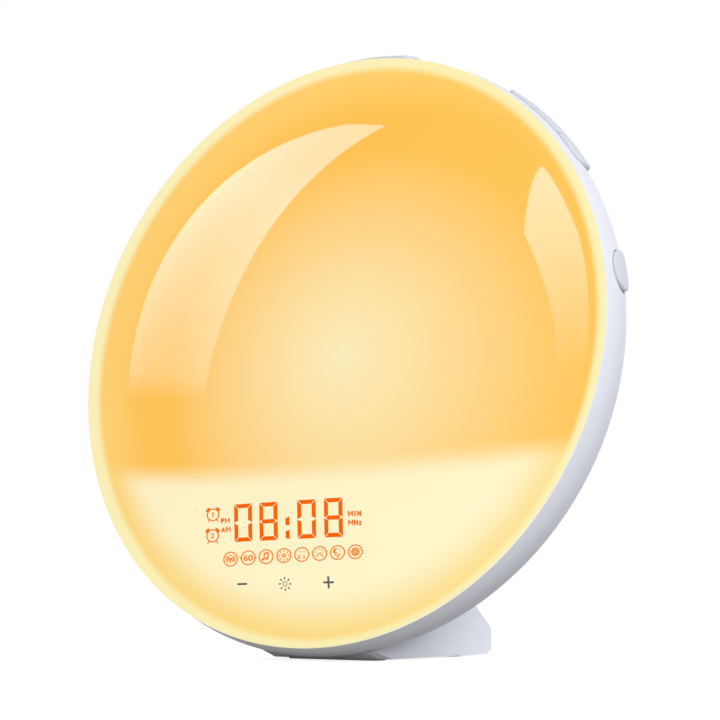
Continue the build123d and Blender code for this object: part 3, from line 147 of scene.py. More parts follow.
class DisplaySettings(bpy.types.PropertyGroup):
    """Sizes and colours of the signs in the display window."""

    digit_width: bpy.props.FloatProperty(
        name="Digit width", description="Width of one digit",
        default=6.0 * MM, subtype="DISTANCE", unit="LENGTH",
    )
    digit_height: bpy.props.FloatProperty(
        name="Digit height", description="Height of one digit",
        default=10.5 * MM, subtype="DISTANCE", unit="LENGTH",
    )
    stroke: bpy.props.FloatProperty(
        name="Stroke", description="Height of a level segment",
        default=1.15 * MM, subtype="DISTANCE", unit="LENGTH",
    )
    upright_stroke: bpy.props.FloatProperty(
        name="Upright stroke", description="Width of an upright segment",
        default=1.3 * MM, subtype="DISTANCE", unit="LENGTH",
    )
    segment_gap: bpy.props.FloatProperty(
        name="Segment gap", description="Dark gap between two segments",
        default=0.15 * MM, subtype="DISTANCE", unit="LENGTH",
    )
    slope: bpy.props.FloatProperty(
        name="Row slope", description="Slope of the rows of signs across the face",
        default=math.radians(1.0), subtype="ANGLE", unit="ROTATION",
    )
    lean: bpy.props.FloatProperty(
        name="Lean", description="How far the digits lean to the right",
        default=math.radians(1.9), subtype="ANGLE", unit="ROTATION",
    )
    icon_lean: bpy.props.FloatProperty(
        name="Icon lean", description="How far the icons lean to the right",
        default=math.radians(5.0), subtype="ANGLE", unit="ROTATION",
    )
    line: bpy.props.FloatProperty(
        name="Icon line", description="Width of the thin lines of the icons",
        default=0.36 * MM, subtype="DISTANCE", unit="LENGTH",
    )
    proud: bpy.props.FloatProperty(
        name="Thickness", description="How far the signs stand on the lens",
        default=0.05 * MM, subtype="DISTANCE", unit="LENGTH",
    )
    lit_colour: bpy.props.FloatVectorProperty(
        name="Lit colour", description="Orange of the lit signs",
        default=linear("#F66000")[:3], subtype="COLOR", min=0.0, max=1.0,
    )
    sign_colour: bpy.props.FloatVectorProperty(
        name="Sign colour", description="Orange of the alarm clocks and the words",
        default=linear("#F46C18")[:3], subtype="COLOR", min=0.0, max=1.0,
    )
    icon_colour: bpy.props.FloatVectorProperty(
        name="Icon colour", description="Lighter orange of the thin icon lines",
        default=linear("#F4812C")[:3], subtype="COLOR", min=0.0, max=1.0,
    )
    touch_colour: bpy.props.FloatVectorProperty(
        name="Touch sign colour", description="Slate ink of the touch signs",
        default=linear("#54545B")[:3], subtype="COLOR", min=0.0, max=1.0,
    )


class HousingSettings(bpy.types.PropertyGroup):
    """Colours of the housing's mouldings."""

    shell_colour: bpy.props.FloatVectorProperty(
        name="Shell colour", description="Cool white of the shell",
        default=linear("#E4E5E9")[:3], subtype="COLOR", min=0.0, max=1.0,
    )
    # painted light: the foot's white is set lighter than the shell's to stand in for more light on
    # the foot
    foot_colour_painted_lighter: bpy.props.FloatVectorProperty(
        name="Foot colour", description="Slightly lighter white of the foot's moulding",
        default=linear("#EFF0F3")[:3], subtype="COLOR", min=0.0, max=1.0,
    )
    key_colour: bpy.props.FloatVectorProperty(
        name="Key colour", description="Cool white of the keys",
        default=linear("#D2D5D9")[:3], subtype="COLOR", min=0.0, max=1.0,
    )
    rubber_colour: bpy.props.FloatVectorProperty(
        name="Rubber colour", description="Grey of the pads and the grommet",
        default=linear("#BFC2C5")[:3], subtype="COLOR", min=0.0, max=1.0,
    )


class StageSettings(bpy.types.PropertyGroup):
    """Camera and light."""

    lens_length: bpy.props.FloatProperty(
        name="Camera lens", description="Focal length in millimetres",
        default=70.0, min=10.0, max=300.0,
    )
    camera_place: bpy.props.FloatVectorProperty(
        name="Camera place", description="Where the camera stands",
        default=(225.2 * MM, -361.5 * MM, 18.7 * MM), subtype="TRANSLATION", unit="LENGTH",
    )
    camera_yaw: bpy.props.FloatProperty(
        name="Camera yaw", description="Turn of the camera round the vertical",
        default=math.radians(31.76), subtype="ANGLE", unit="ROTATION",
    )
    camera_pitch: bpy.props.FloatProperty(
        name="Camera pitch", description="How far the camera looks up",
        default=math.radians(9.49), subtype="ANGLE", unit="ROTATION",
    )
    surround: bpy.props.FloatProperty(
        name="Surround", description="Strength of the even light from the front",
        default=0.45, min=0.0, max=2.0,
    )
    surround_behind: bpy.props.FloatProperty(
        name="Surround behind", description="Strength of the even light from behind",
        default=0.3, min=0.0, max=2.0,
    )


SETTINGS = {
    "sunrise_lens": LensSettings,
    "sunrise_display": DisplaySettings,
    "sunrise_housing": HousingSettings,
    "sunrise_stage": StageSettings,
}


# ---------------------------------------------------------------- modelling by hand


def let_go():
    """Leaves edit mode and deselects every object."""
    if bpy.context.object and bpy.context.object.mode != "OBJECT":
        bpy.ops.object.mode_set(mode="OBJECT")
    bpy.ops.object.select_all(action="DESELECT")


def take(piece):
    """Makes one piece the selected and active object."""
    let_go()
    piece.select_set(True)
    bpy.context.view_layer.objects.active = piece


def pick(piece, wanted, kind="VERT"):
    """Enters edit mode with only the vertices, edges or faces for which wanted(middle) holds."""
    bpy.ops.object.mode_set(mode="OBJECT")
    mesh = piece.data
    for group in (mesh.vertices, mesh.edges, mesh.polygons):
        group.foreach_set("select", [False] * len(group))
    if kind == "VERT":
        for vertex in mesh.vertices:
            vertex.select = bool(wanted(vertex.co))
    elif kind == "EDGE":
        for edge in mesh.edges:
            a, b = (mesh.vertices[i].co for i in edge.vertices)
            edge.select = bool(wanted((a + b) / 2))
    else:
        for face in mesh.polygons:
            face.select = bool(wanted(face.center))
    bpy.ops.object.mode_set(mode="EDIT")
    bpy.ops.mesh.select_mode(type=kind)


def name_it(piece, name):
    """Gives an object and its mesh one name."""
    piece.name = name
    piece.data.name = name
    return piece


def settle(piece, name):
    """Applies the place of a piece, so that its object sits at the origin."""
    take(piece)
    bpy.ops.object.transform_apply(location=True, rotation=True, scale=True)
    return name_it(piece, name)


def join(parts):
    """Joins pieces into the first of them."""
    let_go()
    for part in parts:
        part.select_set(True)
    bpy.context.view_layer.objects.active = parts[0]
    if len(parts) > 1:
        bpy.ops.object.join()
    return parts[0]


def dress(piece, material, body):
    """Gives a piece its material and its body."""
    piece.data.materials.clear()
    piece.data.materials.append(material)
    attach(piece, body)


# ---------------------------------------------------------------- material helpers


def new_material(name):
    """A material whose only node is its output."""
    material = bpy.data.materials.new(name)
    # a glowing mesh isn't sampled as a lamp, which keeps the lamps' light free of grain
    material.cycles.emission_sampling = "NONE"
    material.use_nodes = True
    material.node_tree.nodes.clear()
    material.node_tree.nodes.new("ShaderNodeOutputMaterial")
    return material


def add(holder, kind, settings=None, inputs=None):
    """Adds a node; an input is a number, a colour or another node's output."""
    node = holder.node_tree.nodes.new(kind)
    for name, value in (settings or {}).items():
        setattr(node, name, value)
    for key, value in (inputs or {}).items():
        socket = node.inputs[key]
        if isinstance(value, bpy.types.NodeSocket):
            holder.node_tree.links.new(value, socket)
        else:
            socket.default_value = value
    return node


def finish_with(holder, shader):
    """Links a shader to the output and returns the material."""
    output = next(n for n in holder.node_tree.nodes if n.bl_idname.startswith("ShaderNodeOutput"))
    holder.node_tree.links.new(shader, output.inputs["Surface"])
    return holder


def set_stops(ramp, stops):
    """Sets a ramp's stops from pairs of place and sRGB hex value."""
    while len(ramp.elements) > 1:
        ramp.elements.remove(ramp.elements[-1])
    for number, (place, hex_colour) in enumerate(stops):
        stop = ramp.elements[0] if number == 0 else ramp.elements.new(place)
        stop.position = place
        stop.color = linear(hex_colour)


# ---------------------------------------------------------------- materials


GLOSS_LIFT = 0.044  # what the clear gloss over the glow adds to every colour
BODY_SHADE = (0.09, 0.09, 0.09, 1)  # share of the lamps' light that the opal body throws back

# the light on the face plane: places in mm from the face's middle
GLOW_MIDDLE = (17.9, -10.4)
WINDOW_MIDDLE = (5.5, -0.5)
GLOW_FALL = (0, 64 * MM)  # distances over which the glow falls to amber
OUTER_RISE = (76 * MM, 92 * MM)  # distances over which the amber grows lighter again
WINDOW_FALL = (73 * MM, 88 * MM)  # distances over which the window's light falls off by the rim
BAFFLE_BOW = -0.82  # how strongly the baffle's edge bends down toward the sides, per metre
BAFFLE_EDGE = (-38.3 * MM, -46.9 * MM)  # where that soft edge starts and ends
PALER = (0, 0.3, 0.3)  # green and blue that the light gains per metre toward the lower right
BAND_OVAL = (1.007, 0.996, 0)
BAND_START_MIDDLE, BAND_START = (3.84, -1.98), 84.36 * MM
BAND_END_MIDDLE, BAND_END = (2.37, -1.15), 87.6 * MM
EDGE_HIGHLIGHT_HEIGHTS = (0.7 * MM, 0.2 * MM)  # heights over the face plane between which the glow turns to the painted highlight along the edge


def less_gloss(colour):
    """A colour of the light, less what the clear gloss adds to it."""
    return [max(c - GLOSS_LIFT, 0) for c in colour] + [1]


def lit_opal_acrylic(settings):
    """Opal acrylic (PMMA), injection moulded and polished, lit from behind by warm LEDs.

    The eye gets a soft glow round the middle of the lamp board, a paler window over the
    display, a pale band where the light leaves through the rim, and a sharp clear gloss.
    """
    m = new_material("lit_opal_acrylic")
    place = add(m, "ShaderNodeTexCoord").outputs["Object"]
    face = add(m, "ShaderNodeMapping", {"vector_type": "TEXTURE"}, {
        "Vector": place, "Location": FACE_MIDDLE, "Rotation": (FACE_TURN, 0, 0),
    }).outputs["Vector"]
    flat = add(m, "ShaderNodeVectorMath", {"operation": "MULTIPLY"}, {
        0: face, 1: (1, 1, 0),
    }).outputs["Vector"]
    parts = add(m, "ShaderNodeSeparateXYZ", None, {"Vector": face}).outputs

    def far_from(x, y, plane=flat):
        return add(m, "ShaderNodeVectorMath", {"operation": "DISTANCE"}, {
            0: plane, 1: (x * MM, y * MM, 0),
        }).outputs["Value"]

    def share_of(value, start, end, kind):
        return add(m, "ShaderNodeMapRange", {"interpolation_type": kind}, {
            "Value": value, "From Min": start, "From Max": end,
        }).outputs["Result"]

    def mix(share, first, second):
        return add(m, "ShaderNodeMix", {"data_type": "RGBA"}, {
            0: share, 6: first, 7: second,
        }).outputs[2]

    from_glow = far_from(*GLOW_MIDDLE)
    glow = mix(
        share_of(from_glow, *GLOW_FALL, "LINEAR"),
        less_gloss(settings.glow_colour), less_gloss(settings.amber_colour),
    )
    glow = mix(
        share_of(from_glow, *OUTER_RISE, "LINEAR"), glow, less_gloss(settings.outer_colour),
    )
    window = mix(
        share_of(far_from(*WINDOW_MIDDLE), *WINDOW_FALL, "SMOOTHSTEP"),
        less_gloss(settings.window_colour), less_gloss(settings.window_edge_colour),
    )

    # the baffle under the lamp area throws a soft, slightly curved edge on the lens
    side = add(m, "ShaderNodeMath", {"operation": "MULTIPLY"}, {0: parts["X"], 1: parts["X"]})
    curved = add(m, "ShaderNodeMath", {"operation": "MULTIPLY_ADD"}, {
        0: side.outputs["Value"], 1: BAFFLE_BOW, 2: parts["Y"],
    }).outputs["Value"]
    lit = mix(share_of(curved, *BAFFLE_EDGE, "SMOOTHSTEP"), glow, window)
    # toward the lower right the light grows a little paler
    paler = add(m, "ShaderNodeMath", {"operation": "SUBTRACT"}, {0: parts["X"], 1: parts["Y"]})
    lit = add(m, "ShaderNodeVectorMath", {"operation": "MULTIPLY_ADD"}, {
        0: paler.outputs["Value"], 1: PALER, 2: lit,
    }).outputs["Vector"]

    # the band fades in between two slightly oval rings that aren't quite round the same middle
    oval = add(m, "ShaderNodeVectorMath", {"operation": "MULTIPLY"}, {
        0: face, 1: BAND_OVAL,
    }).outputs["Vector"]
    band_start = far_from(*BAND_START_MIDDLE, oval)
    band_width = add(m, "ShaderNodeMath", {"operation": "SUBTRACT"}, {
        0: band_start, 1: far_from(*BAND_END_MIDDLE, oval),
    })
    band_end = add(m, "ShaderNodeMath", {"operation": "ADD"}, {
        0: band_width.outputs["Value"], 1: BAND_END,
    })
    band_share = share_of(band_start, BAND_START, band_end.outputs["Value"], "SMOOTHSTEP")
    lit = mix(band_share, lit, less_gloss(settings.rim_colour))
    # painted highlight: a thin bluish-white line glows along the lens's edge beside the shell
    edge_highlight_share = share_of(parts["Z"], *EDGE_HIGHLIGHT_HEIGHTS, "SMOOTHSTEP")
    lit = mix(edge_highlight_share, lit, [*settings.edge_highlight_colour, 1])

    shade = add(m, "ShaderNodeMix", {"data_type": "RGBA", "blend_type": "MULTIPLY"}, {
        0: 1.0, 6: lit, 7: BODY_SHADE,
    }).outputs[2]
    shader = add(m, "ShaderNodeBsdfPrincipled", None, {
        "Base Color": shade, "Roughness": 0.5, "IOR": 1.49, "Specular IOR Level": 0.0,
        "Coat Weight": 1.0, "Coat Roughness": 0.03, "Coat IOR": 1.4,
        "Emission Color": lit, "Emission Strength": settings.brightness,
    })
    return finish_with(m, shader.outputs["BSDF"])


def lit_display_film(name, colour, lighter):
    """Orange display film (PET), screen printed with clear windows, lit by the LED digits.

    The eye gets an even, saturated orange that is a touch lighter over each LED.
    """
    m = new_material(name)
    place = add(m, "ShaderNodeTexCoord").outputs["Object"]
    # one soft patch of light per LED, about 2.5 mm apart
    patches = add(m, "ShaderNodeTexNoise", None, {
        "Vector": place, "Scale": 1 / (2.5 * MM), "Detail": 1.0, "Roughness": 0.4,
    }).outputs["Fac"]
    colour = add(m, "ShaderNodeMix", {"data_type": "RGBA"}, {
        0: patches, 6: [*colour, 1], 7: linear(lighter),
    }).outputs[2]
    shader = add(m, "ShaderNodeBsdfPrincipled", None, {
        "Base Color": (0, 0, 0, 1), "Roughness": 0.35, "Specular IOR Level": 0.0,
        "Emission Color": colour, "Emission Strength": 1.0,
    })
    return finish_with(m, shader.outputs["BSDF"])


def slate_pad_ink(settings):
    """Slate grey pad printing ink, cured matt.

    The eye gets flat dark marks with a faintly uneven edge and body.
    """
    m = new_material("slate_pad_ink")
    place = add(m, "ShaderNodeTexCoord").outputs["Object"]
    # ink builds up unevenly over about 0.3 mm
    body = add(m, "ShaderNodeTexNoise", None, {
        "Vector": place, "Scale": 1 / (0.3 * MM), "Detail": 2.0,
    }).outputs["Fac"]
    colour = add(m, "ShaderNodeMix", {"data_type": "RGBA"}, {
        0: body, 6: [*settings.touch_colour, 1], 7: linear("#67676D"),
    }).outputs[2]
    shader = add(m, "ShaderNodeBsdfPrincipled", None, {
        "Base Color": colour, "Roughness": 0.55, "IOR": 1.5,
    })
    return finish_with(m, shader.outputs["BSDF"])


def satin_moulded_abs(name, colour, roughness, grain_mm):
    """ABS, injection moulded in a fine spark-eroded tool.

    The eye gets a cool white satin, with a soft sheen that a fine grain breaks up.
    """
    m = new_material(name)
    place = add(m, "ShaderNodeTexCoord").outputs["Object"]
    # slight variation of the melt over about 40 mm
    cloud = add(m, "ShaderNodeTexNoise", None, {
        "Vector": place, "Scale": 1 / (40 * MM), "Detail": 3.0, "Roughness": 0.5,
    }).outputs["Fac"]
    tint = add(m, "ShaderNodeMix", {"data_type": "RGBA"}, {
        0: cloud,
        6: [c * 0.97 for c in colour] + [1], 7: [min(c * 1.03, 1) for c in colour] + [1],
    }).outputs[2]
    # the tool's grain is about 0.1 mm, drawn coarser so that it shows
    grain = add(m, "ShaderNodeTexNoise", None, {
        "Vector": place, "Scale": 1 / (grain_mm * MM), "Detail": 3.0, "Roughness": 0.6,
    }).outputs["Fac"]
    sheen = add(m, "ShaderNodeMapRange", None, {
        "Value": grain, "To Min": roughness - 0.05, "To Max": roughness + 0.05,
    }).outputs["Result"]
    shader = add(m, "ShaderNodeBsdfPrincipled", None, {
        "Base Color": tint, "Roughness": sheen, "IOR": 1.53, "Specular IOR Level": 0.05,
    })
    return finish_with(m, shader.outputs["BSDF"])


def moulded_plastic(name, dark, light, roughness, grain_mm, ior=1.53):
    """A plain technical plastic, injection moulded and left as it comes from the tool.

    The eye gets an even body with a dull, slightly mottled surface.
    """
    m = new_material(name)
    place = add(m, "ShaderNodeTexCoord").outputs["Object"]
    grain = add(m, "ShaderNodeTexNoise", None, {
        "Vector": place, "Scale": 1 / (grain_mm * MM), "Detail": 4.0, "Roughness": 0.6,
    }).outputs["Fac"]
    colour = add(m, "ShaderNodeMix", {"data_type": "RGBA"}, {
        0: grain, 6: linear(dark), 7: linear(light),
    }).outputs[2]
    bump = add(m, "ShaderNodeBump", None, {
        "Height": grain, "Strength": 0.3, "Distance": 0.02 * MM,
    }).outputs["Normal"]
    shader = add(m, "ShaderNodeBsdfPrincipled", None, {
        "Base Color": colour, "Roughness": roughness, "IOR": ior, "Normal": bump,
    })
    return finish_with(m, shader.outputs["BSDF"])


def moulded_silicone_rubber(settings):
    """Silicone rubber, compression moulded.

    The eye gets a dull grey with a fine dusty mottle and almost no gloss.
    """
    m = new_material("moulded_silicone_rubber")
    place = add(m, "ShaderNodeTexCoord").outputs["Object"]
    dust = add(m, "ShaderNodeTexNoise", None, {
        "Vector": place, "Scale": 1 / (1.2 * MM), "Detail": 5.0, "Roughness": 0.7,
    }).outputs["Fac"]
    colour = add(m, "ShaderNodeMix", {"data_type": "RGBA"}, {
        0: dust,
        6: [*settings.rubber_colour, 1], 7: [c * 1.25 for c in settings.rubber_colour] + [1],
    }).outputs[2]
    bump = add(m, "ShaderNodeBump", None, {
        "Height": dust, "Strength": 0.3, "Distance": 0.03 * MM,
    }).outputs["Normal"]
    shader = add(m, "ShaderNodeBsdfPrincipled", None, {
        "Base Color": colour, "Roughness": 0.85, "IOR": 1.41, "Normal": bump,
    })
    return finish_with(m, shader.outputs["BSDF"])


def solder_masked_board():
    """Glass epoxy laminate (FR4), etched and coated in green solder mask.

    The eye gets a semi-gloss green with paler tracks under it, about 0.5 mm wide.
    """
    m = new_material("solder_masked_board")
    place = add(m, "ShaderNodeTexCoord").outputs["Object"]
    cells = add(
        m, "ShaderNodeTexVoronoi", {"distance": "MANHATTAN", "feature": "DISTANCE_TO_EDGE"},
        {"Vector": place, "Scale": 1 / (4 * MM)},
    ).outputs["Distance"]
    track = add(m, "ShaderNodeMapRange", None, {
        "Value": cells, "From Min": 0.05, "From Max": 0.08,
    }).outputs["Result"]
    colour = add(m, "ShaderNodeMix", {"data_type": "RGBA"}, {
        0: track, 6: linear("#2E7A4A"), 7: linear("#1F5C37"),
    }).outputs[2]
    bump = add(m, "ShaderNodeBump", {"invert": True}, {
        "Height": track, "Strength": 0.4, "Distance": 0.035 * MM,
    }).outputs["Normal"]
    shader = add(m, "ShaderNodeBsdfPrincipled", None, {
        "Base Color": colour, "Roughness": 0.32, "IOR": 1.55, "Normal": bump,
    })
    return finish_with(m, shader.outputs["BSDF"])


def phosphor_led_resin():
    """Silicone resin filled with yellow phosphor, dispensed and cured, over a blue LED die.

    The eye gets a bright yellow dome with a speckle of phosphor grains.
    """
    m = new_material("phosphor_led_resin")
    place = add(m, "ShaderNodeTexCoord").outputs["Object"]
    speckle = add(m, "ShaderNodeTexNoise", None, {
        "Vector": place, "Scale": 1 / (0.2 * MM), "Detail": 2.0,
    }).outputs["Fac"]
    colour = add(m, "ShaderNodeMix", {"data_type": "RGBA"}, {
        0: speckle, 6: linear("#F6D860"), 7: linear("#FFF0A8"),
    }).outputs[2]
    shader = add(m, "ShaderNodeBsdfPrincipled", None, {
        "Base Color": colour, "Roughness": 0.25, "IOR": 1.41,
        "Emission Color": colour, "Emission Strength": 0.6,
    })
    return finish_with(m, shader.outputs["BSDF"])


def plated_steel():
    """Low carbon steel, rolled or turned, zinc plated.

    The eye gets a grey metal with a fine drawn grain and a soft, uneven gloss.
    """
    m = new_material("plated_steel")
    place = add(m, "ShaderNodeTexCoord").outputs["Object"]
    drawn = add(m, "ShaderNodeMapping", None, {
        "Vector": place, "Scale": (6, 1, 1),
    }).outputs["Vector"]
    grain = add(m, "ShaderNodeTexNoise", None, {
        "Vector": drawn, "Scale": 1 / (0.8 * MM), "Detail": 3.0,
    }).outputs["Fac"]
    colour = add(m, "ShaderNodeMix", {"data_type": "RGBA"}, {
        0: grain, 6: linear("#A9ABAE"), 7: linear("#CDCFD2"),
    }).outputs[2]
    gloss = add(m, "ShaderNodeMapRange", None, {
        "Value": grain, "To Min": 0.25, "To Max": 0.42,
    }).outputs["Result"]
    shader = add(m, "ShaderNodeBsdfPrincipled", None, {
        "Base Color": colour, "Metallic": 1.0, "Roughness": gloss,
    })
    return finish_with(m, shader.outputs["BSDF"])


def drawn_aluminium_can():
    """Aluminium, deep drawn into a can.

    The eye gets a bright metal with faint lines down its side.
    """
    m = new_material("drawn_aluminium_can")
    place = add(m, "ShaderNodeTexCoord").outputs["Object"]
    drawn = add(m, "ShaderNodeMapping", None, {
        "Vector": place, "Scale": (8, 1, 8),
    }).outputs["Vector"]
    lines = add(m, "ShaderNodeTexNoise", None, {
        "Vector": drawn, "Scale": 1 / (1.5 * MM), "Detail": 2.0,
    }).outputs["Fac"]
    colour = add(m, "ShaderNodeMix", {"data_type": "RGBA"}, {
        0: lines, 6: linear("#C6C8CB"), 7: linear("#E3E4E6"),
    }).outputs[2]
    bump = add(m, "ShaderNodeBump", None, {
        "Height": lines, "Strength": 0.2, "Distance": 0.01 * MM,
    }).outputs["Normal"]
    shader = add(m, "ShaderNodeBsdfPrincipled", None, {
        "Base Color": colour, "Metallic": 1.0, "Roughness": 0.3, "Normal": bump,
    })
    return finish_with(m, shader.outputs["BSDF"])


def pressed_paper_cone():
    """Paper pulp, pressed and dyed black.

    The eye gets a soft black with short matted fibres.
    """
    m = new_material("pressed_paper_cone")
    place = add(m, "ShaderNodeTexCoord").outputs["Object"]
    warp = add(m, "ShaderNodeTexNoise", None, {
        "Vector": place, "Scale": 1 / (3 * MM), "Detail": 2.0,
    }).outputs["Color"]
    bent = add(m, "ShaderNodeMix", {"data_type": "VECTOR"}, {
        0: 0.002, 4: place, 5: warp,
    }).outputs[1]
    fibres = add(m, "ShaderNodeTexNoise", None, {
        "Vector": bent, "Scale": 1 / (0.5 * MM), "Detail": 6.0, "Roughness": 0.7,
    }).outputs["Fac"]
    colour = add(m, "ShaderNodeMix", {"data_type": "RGBA"}, {
        0: fibres, 6: linear("#1B1B1D"), 7: linear("#343437"),
    }).outputs[2]
    bump = add(m, "ShaderNodeBump", None, {
        "Height": fibres, "Strength": 0.6, "Distance": 0.05 * MM,
    }).outputs["Normal"]
    shader = add(m, "ShaderNodeBsdfPrincipled", None, {
        "Base Color": colour, "Roughness": 0.9, "IOR": 1.5, "Normal": bump,
    })
    return finish_with(m, shader.outputs["BSDF"])


# ---------------------------------------------------------------- flat signs, drawn in mm


def place_flat(piece, x, y, turn=0.0):
    """Turns a sign on the XY plane, moves it by x and y and applies its place."""
    piece.rotation_euler = (0, 0, turn)
    piece.location = (x * MM, y * MM, 0)
    take(piece)
    bpy.ops.object.transform_apply(location=True, rotation=True, scale=True)
    return piece


def bar(x, y, length, width, turn=0.0, mitre=(0.0, 0.0), narrow=1.0):
    """A bar; mitre shortens its lower edge at either end, and narrow scales its right end."""
    let_go()
    bpy.ops.mesh.primitive_plane_add(size=1)
    piece = bpy.context.object
    piece.scale = (length * MM, width * MM, 1)
    bpy.ops.object.transform_apply(location=False, rotation=False, scale=True)
    for side, cut in ((-1, mitre[0]), (1, mitre[1])):
        if cut:
            pick(piece, lambda co: co.y < 0 and co.x * side > 0)
            bpy.ops.transform.translate(value=(-side * cut * MM, 0, 0))
    if narrow != 1.0:
        pick(piece, lambda co: co.x > 0)
        bpy.ops.transform.resize(value=(1, narrow, 1))
    bpy.ops.object.mode_set(mode="OBJECT")
    return place_flat(piece, x, y, turn)


def lozenge_bar(x, y, length, width):
    """A bar with pointed ends, as the middle segment of a digit has."""
    let_go()
    bpy.ops.mesh.primitive_circle_add(
        vertices=6, radius=0.5, fill_type="NGON", rotation=(0, 0, math.pi / 6),
    )
    piece = bpy.context.object
    bpy.ops.object.transform_apply(location=False, rotation=True, scale=False)
    piece.scale = (length * MM, width * MM / math.cos(math.pi / 6), 1)
    bpy.ops.object.transform_apply(location=False, rotation=False, scale=True)
    inner = length / 2 - width / 2
    pick(piece, lambda co: abs(co.x) < 0.4 * length * MM)
    bpy.ops.transform.resize(value=(inner / (length / 4), 1, 1), center_override=(0, 0, 0))
    bpy.ops.object.mode_set(mode="OBJECT")
    return place_flat(piece, x, y)


def disc(x, y, across, high=None, turn=0.0):
    """A filled circle, or an ellipse where a height is given."""
    let_go()
    bpy.ops.mesh.primitive_circle_add(vertices=20, radius=0.5, fill_type="NGON")
    piece = bpy.context.object
    piece.scale = (across * MM, (high or across) * MM, 1)
    bpy.ops.object.transform_apply(location=False, rotation=False, scale=True)
    return place_flat(piece, x, y, turn)


def ring(x, y, across, line, first=0.0, last=360.0, bulge=0.0):
    """A thin ring or an arc of it between two angles; bulge moves its hole aside, for a moon."""
    let_go()
    bpy.ops.mesh.primitive_circle_add(vertices=48, radius=across / 2 * MM, fill_type="NGON")
    piece = bpy.context.object
    bpy.ops.object.mode_set(mode="EDIT")
    bpy.ops.mesh.select_all(action="SELECT")
    bpy.ops.mesh.inset(thickness=line * MM)
    if bulge:
        bpy.ops.transform.translate(value=(bulge * MM, 0, 0))
    bpy.ops.mesh.delete(type="FACE")
    if last - first < 360:
        middle = math.radians((first + last) / 2)
        half = math.radians((last - first) / 2)

        def outside(co):
            away = math.atan2(co.y, co.x) - middle
            return abs(math.atan2(math.sin(away), math.cos(away))) > half + 1e-4

        pick(piece, outside)
        bpy.ops.mesh.delete(type="VERT")
    bpy.ops.object.mode_set(mode="OBJECT")
    return place_flat(piece, x, y)


def word(letters, x, y, across, high, weight=0.02):
    """Lettering as flat faces, fitted to a width and a height."""
    let_go()
    bpy.ops.object.text_add()
    bpy.context.object.data.body = letters
    bpy.context.object.data.offset = weight
    bpy.context.object.data.resolution_u = 4
    bpy.ops.object.convert(target="MESH")
    piece = bpy.context.object
    xs = [v.co.x for v in piece.data.vertices]
    ys = [v.co.y for v in piece.data.vertices]
    wide, tall = across * MM / (max(xs) - min(xs)), high * MM / (max(ys) - min(ys))
    piece.scale = (wide, tall, 1)
    piece.location = (
        x * MM - wide * (max(xs) + min(xs)) / 2, y * MM - tall * (max(ys) + min(ys)) / 2, 0,
    )
    bpy.ops.object.transform_apply(location=True, rotation=True, scale=True)
    return piece


def letter_m(x, y, across, high):
    """The letter M from two stems and two slanting strokes that meet low in its middle."""
    stem, stroke, dip = 0.36, 0.3, high * 0.7
    foot = across / 2 - stem / 2
    slant, length = math.atan2(dip, foot), math.hypot(dip, foot)
    parts = [bar(side * foot, 0, high, stem, math.pi / 2) for side in (-1, 1)]
    parts += [
        bar(side * foot / 2, high * 0.15, length, stroke, side * slant) for side in (-1, 1)
    ]
    return place_flat(join(parts), x, y)


def copy_of(piece, x, y):
    """A copy with a mesh of its own, moved by x and y."""
    take(piece)
    bpy.ops.object.duplicate(linked=False)
    return place_flat(bpy.context.object, x, y)


def stretch(piece, x, y, wide, high=1.0, lean=0.0, turn=0.0):
    """Scales a sign drawn round the origin, leans it, turns it and moves it to its place."""
    take(piece)
    piece.scale = (wide, high, 1)
    bpy.ops.object.transform_apply(location=False, rotation=False, scale=True)
    if lean:
        piece.data.transform(Matrix.Shear("XZ", 4, (math.tan(lean), 0)))
    return place_flat(piece, x, y, turn)


def press_on_lens(parts, name, material, proud):
    """Lays flat signs on the dome and gives them their thickness."""
    piece = join(parts)
    let_go()
    take(piece)
    bpy.ops.object.mode_set(mode="EDIT")
    bpy.ops.mesh.select_all(action="SELECT")
    bpy.ops.mesh.remove_doubles(threshold=0.002 * MM)
    bpy.ops.mesh.normals_make_consistent(inside=False)
    bpy.ops.object.mode_set(mode="OBJECT")
    if sum(face.normal.z for face in piece.data.polygons) < 0:
        bpy.ops.object.mode_set(mode="EDIT")
        bpy.ops.mesh.flip_normals()
        bpy.ops.object.mode_set(mode="OBJECT")
    piece.matrix_world = FACE_PLACE @ Matrix.Translation((0, 0, 40 * MM))
    wrap = piece.modifiers.new("on the dome", "SHRINKWRAP")
    wrap.target = bpy.data.objects["domed_lens"]
    wrap.wrap_method = "PROJECT"
    wrap.use_project_z = True
    wrap.use_positive_direction = False
    wrap.use_negative_direction = True
    bpy.ops.object.modifier_apply(modifier=wrap.name)
    wall = piece.modifiers.new("thickness", "SOLIDIFY")
    wall.thickness = proud
    wall.offset = 1.0
    bpy.ops.object.modifier_apply(modifier=wall.name)
    settle(piece, name)
    dress(piece, material, "root")


# ---------------------------------------------------------------- operators


ARC_CORNERS = 640  # corners of the circles that the dome's two arcs are cut from


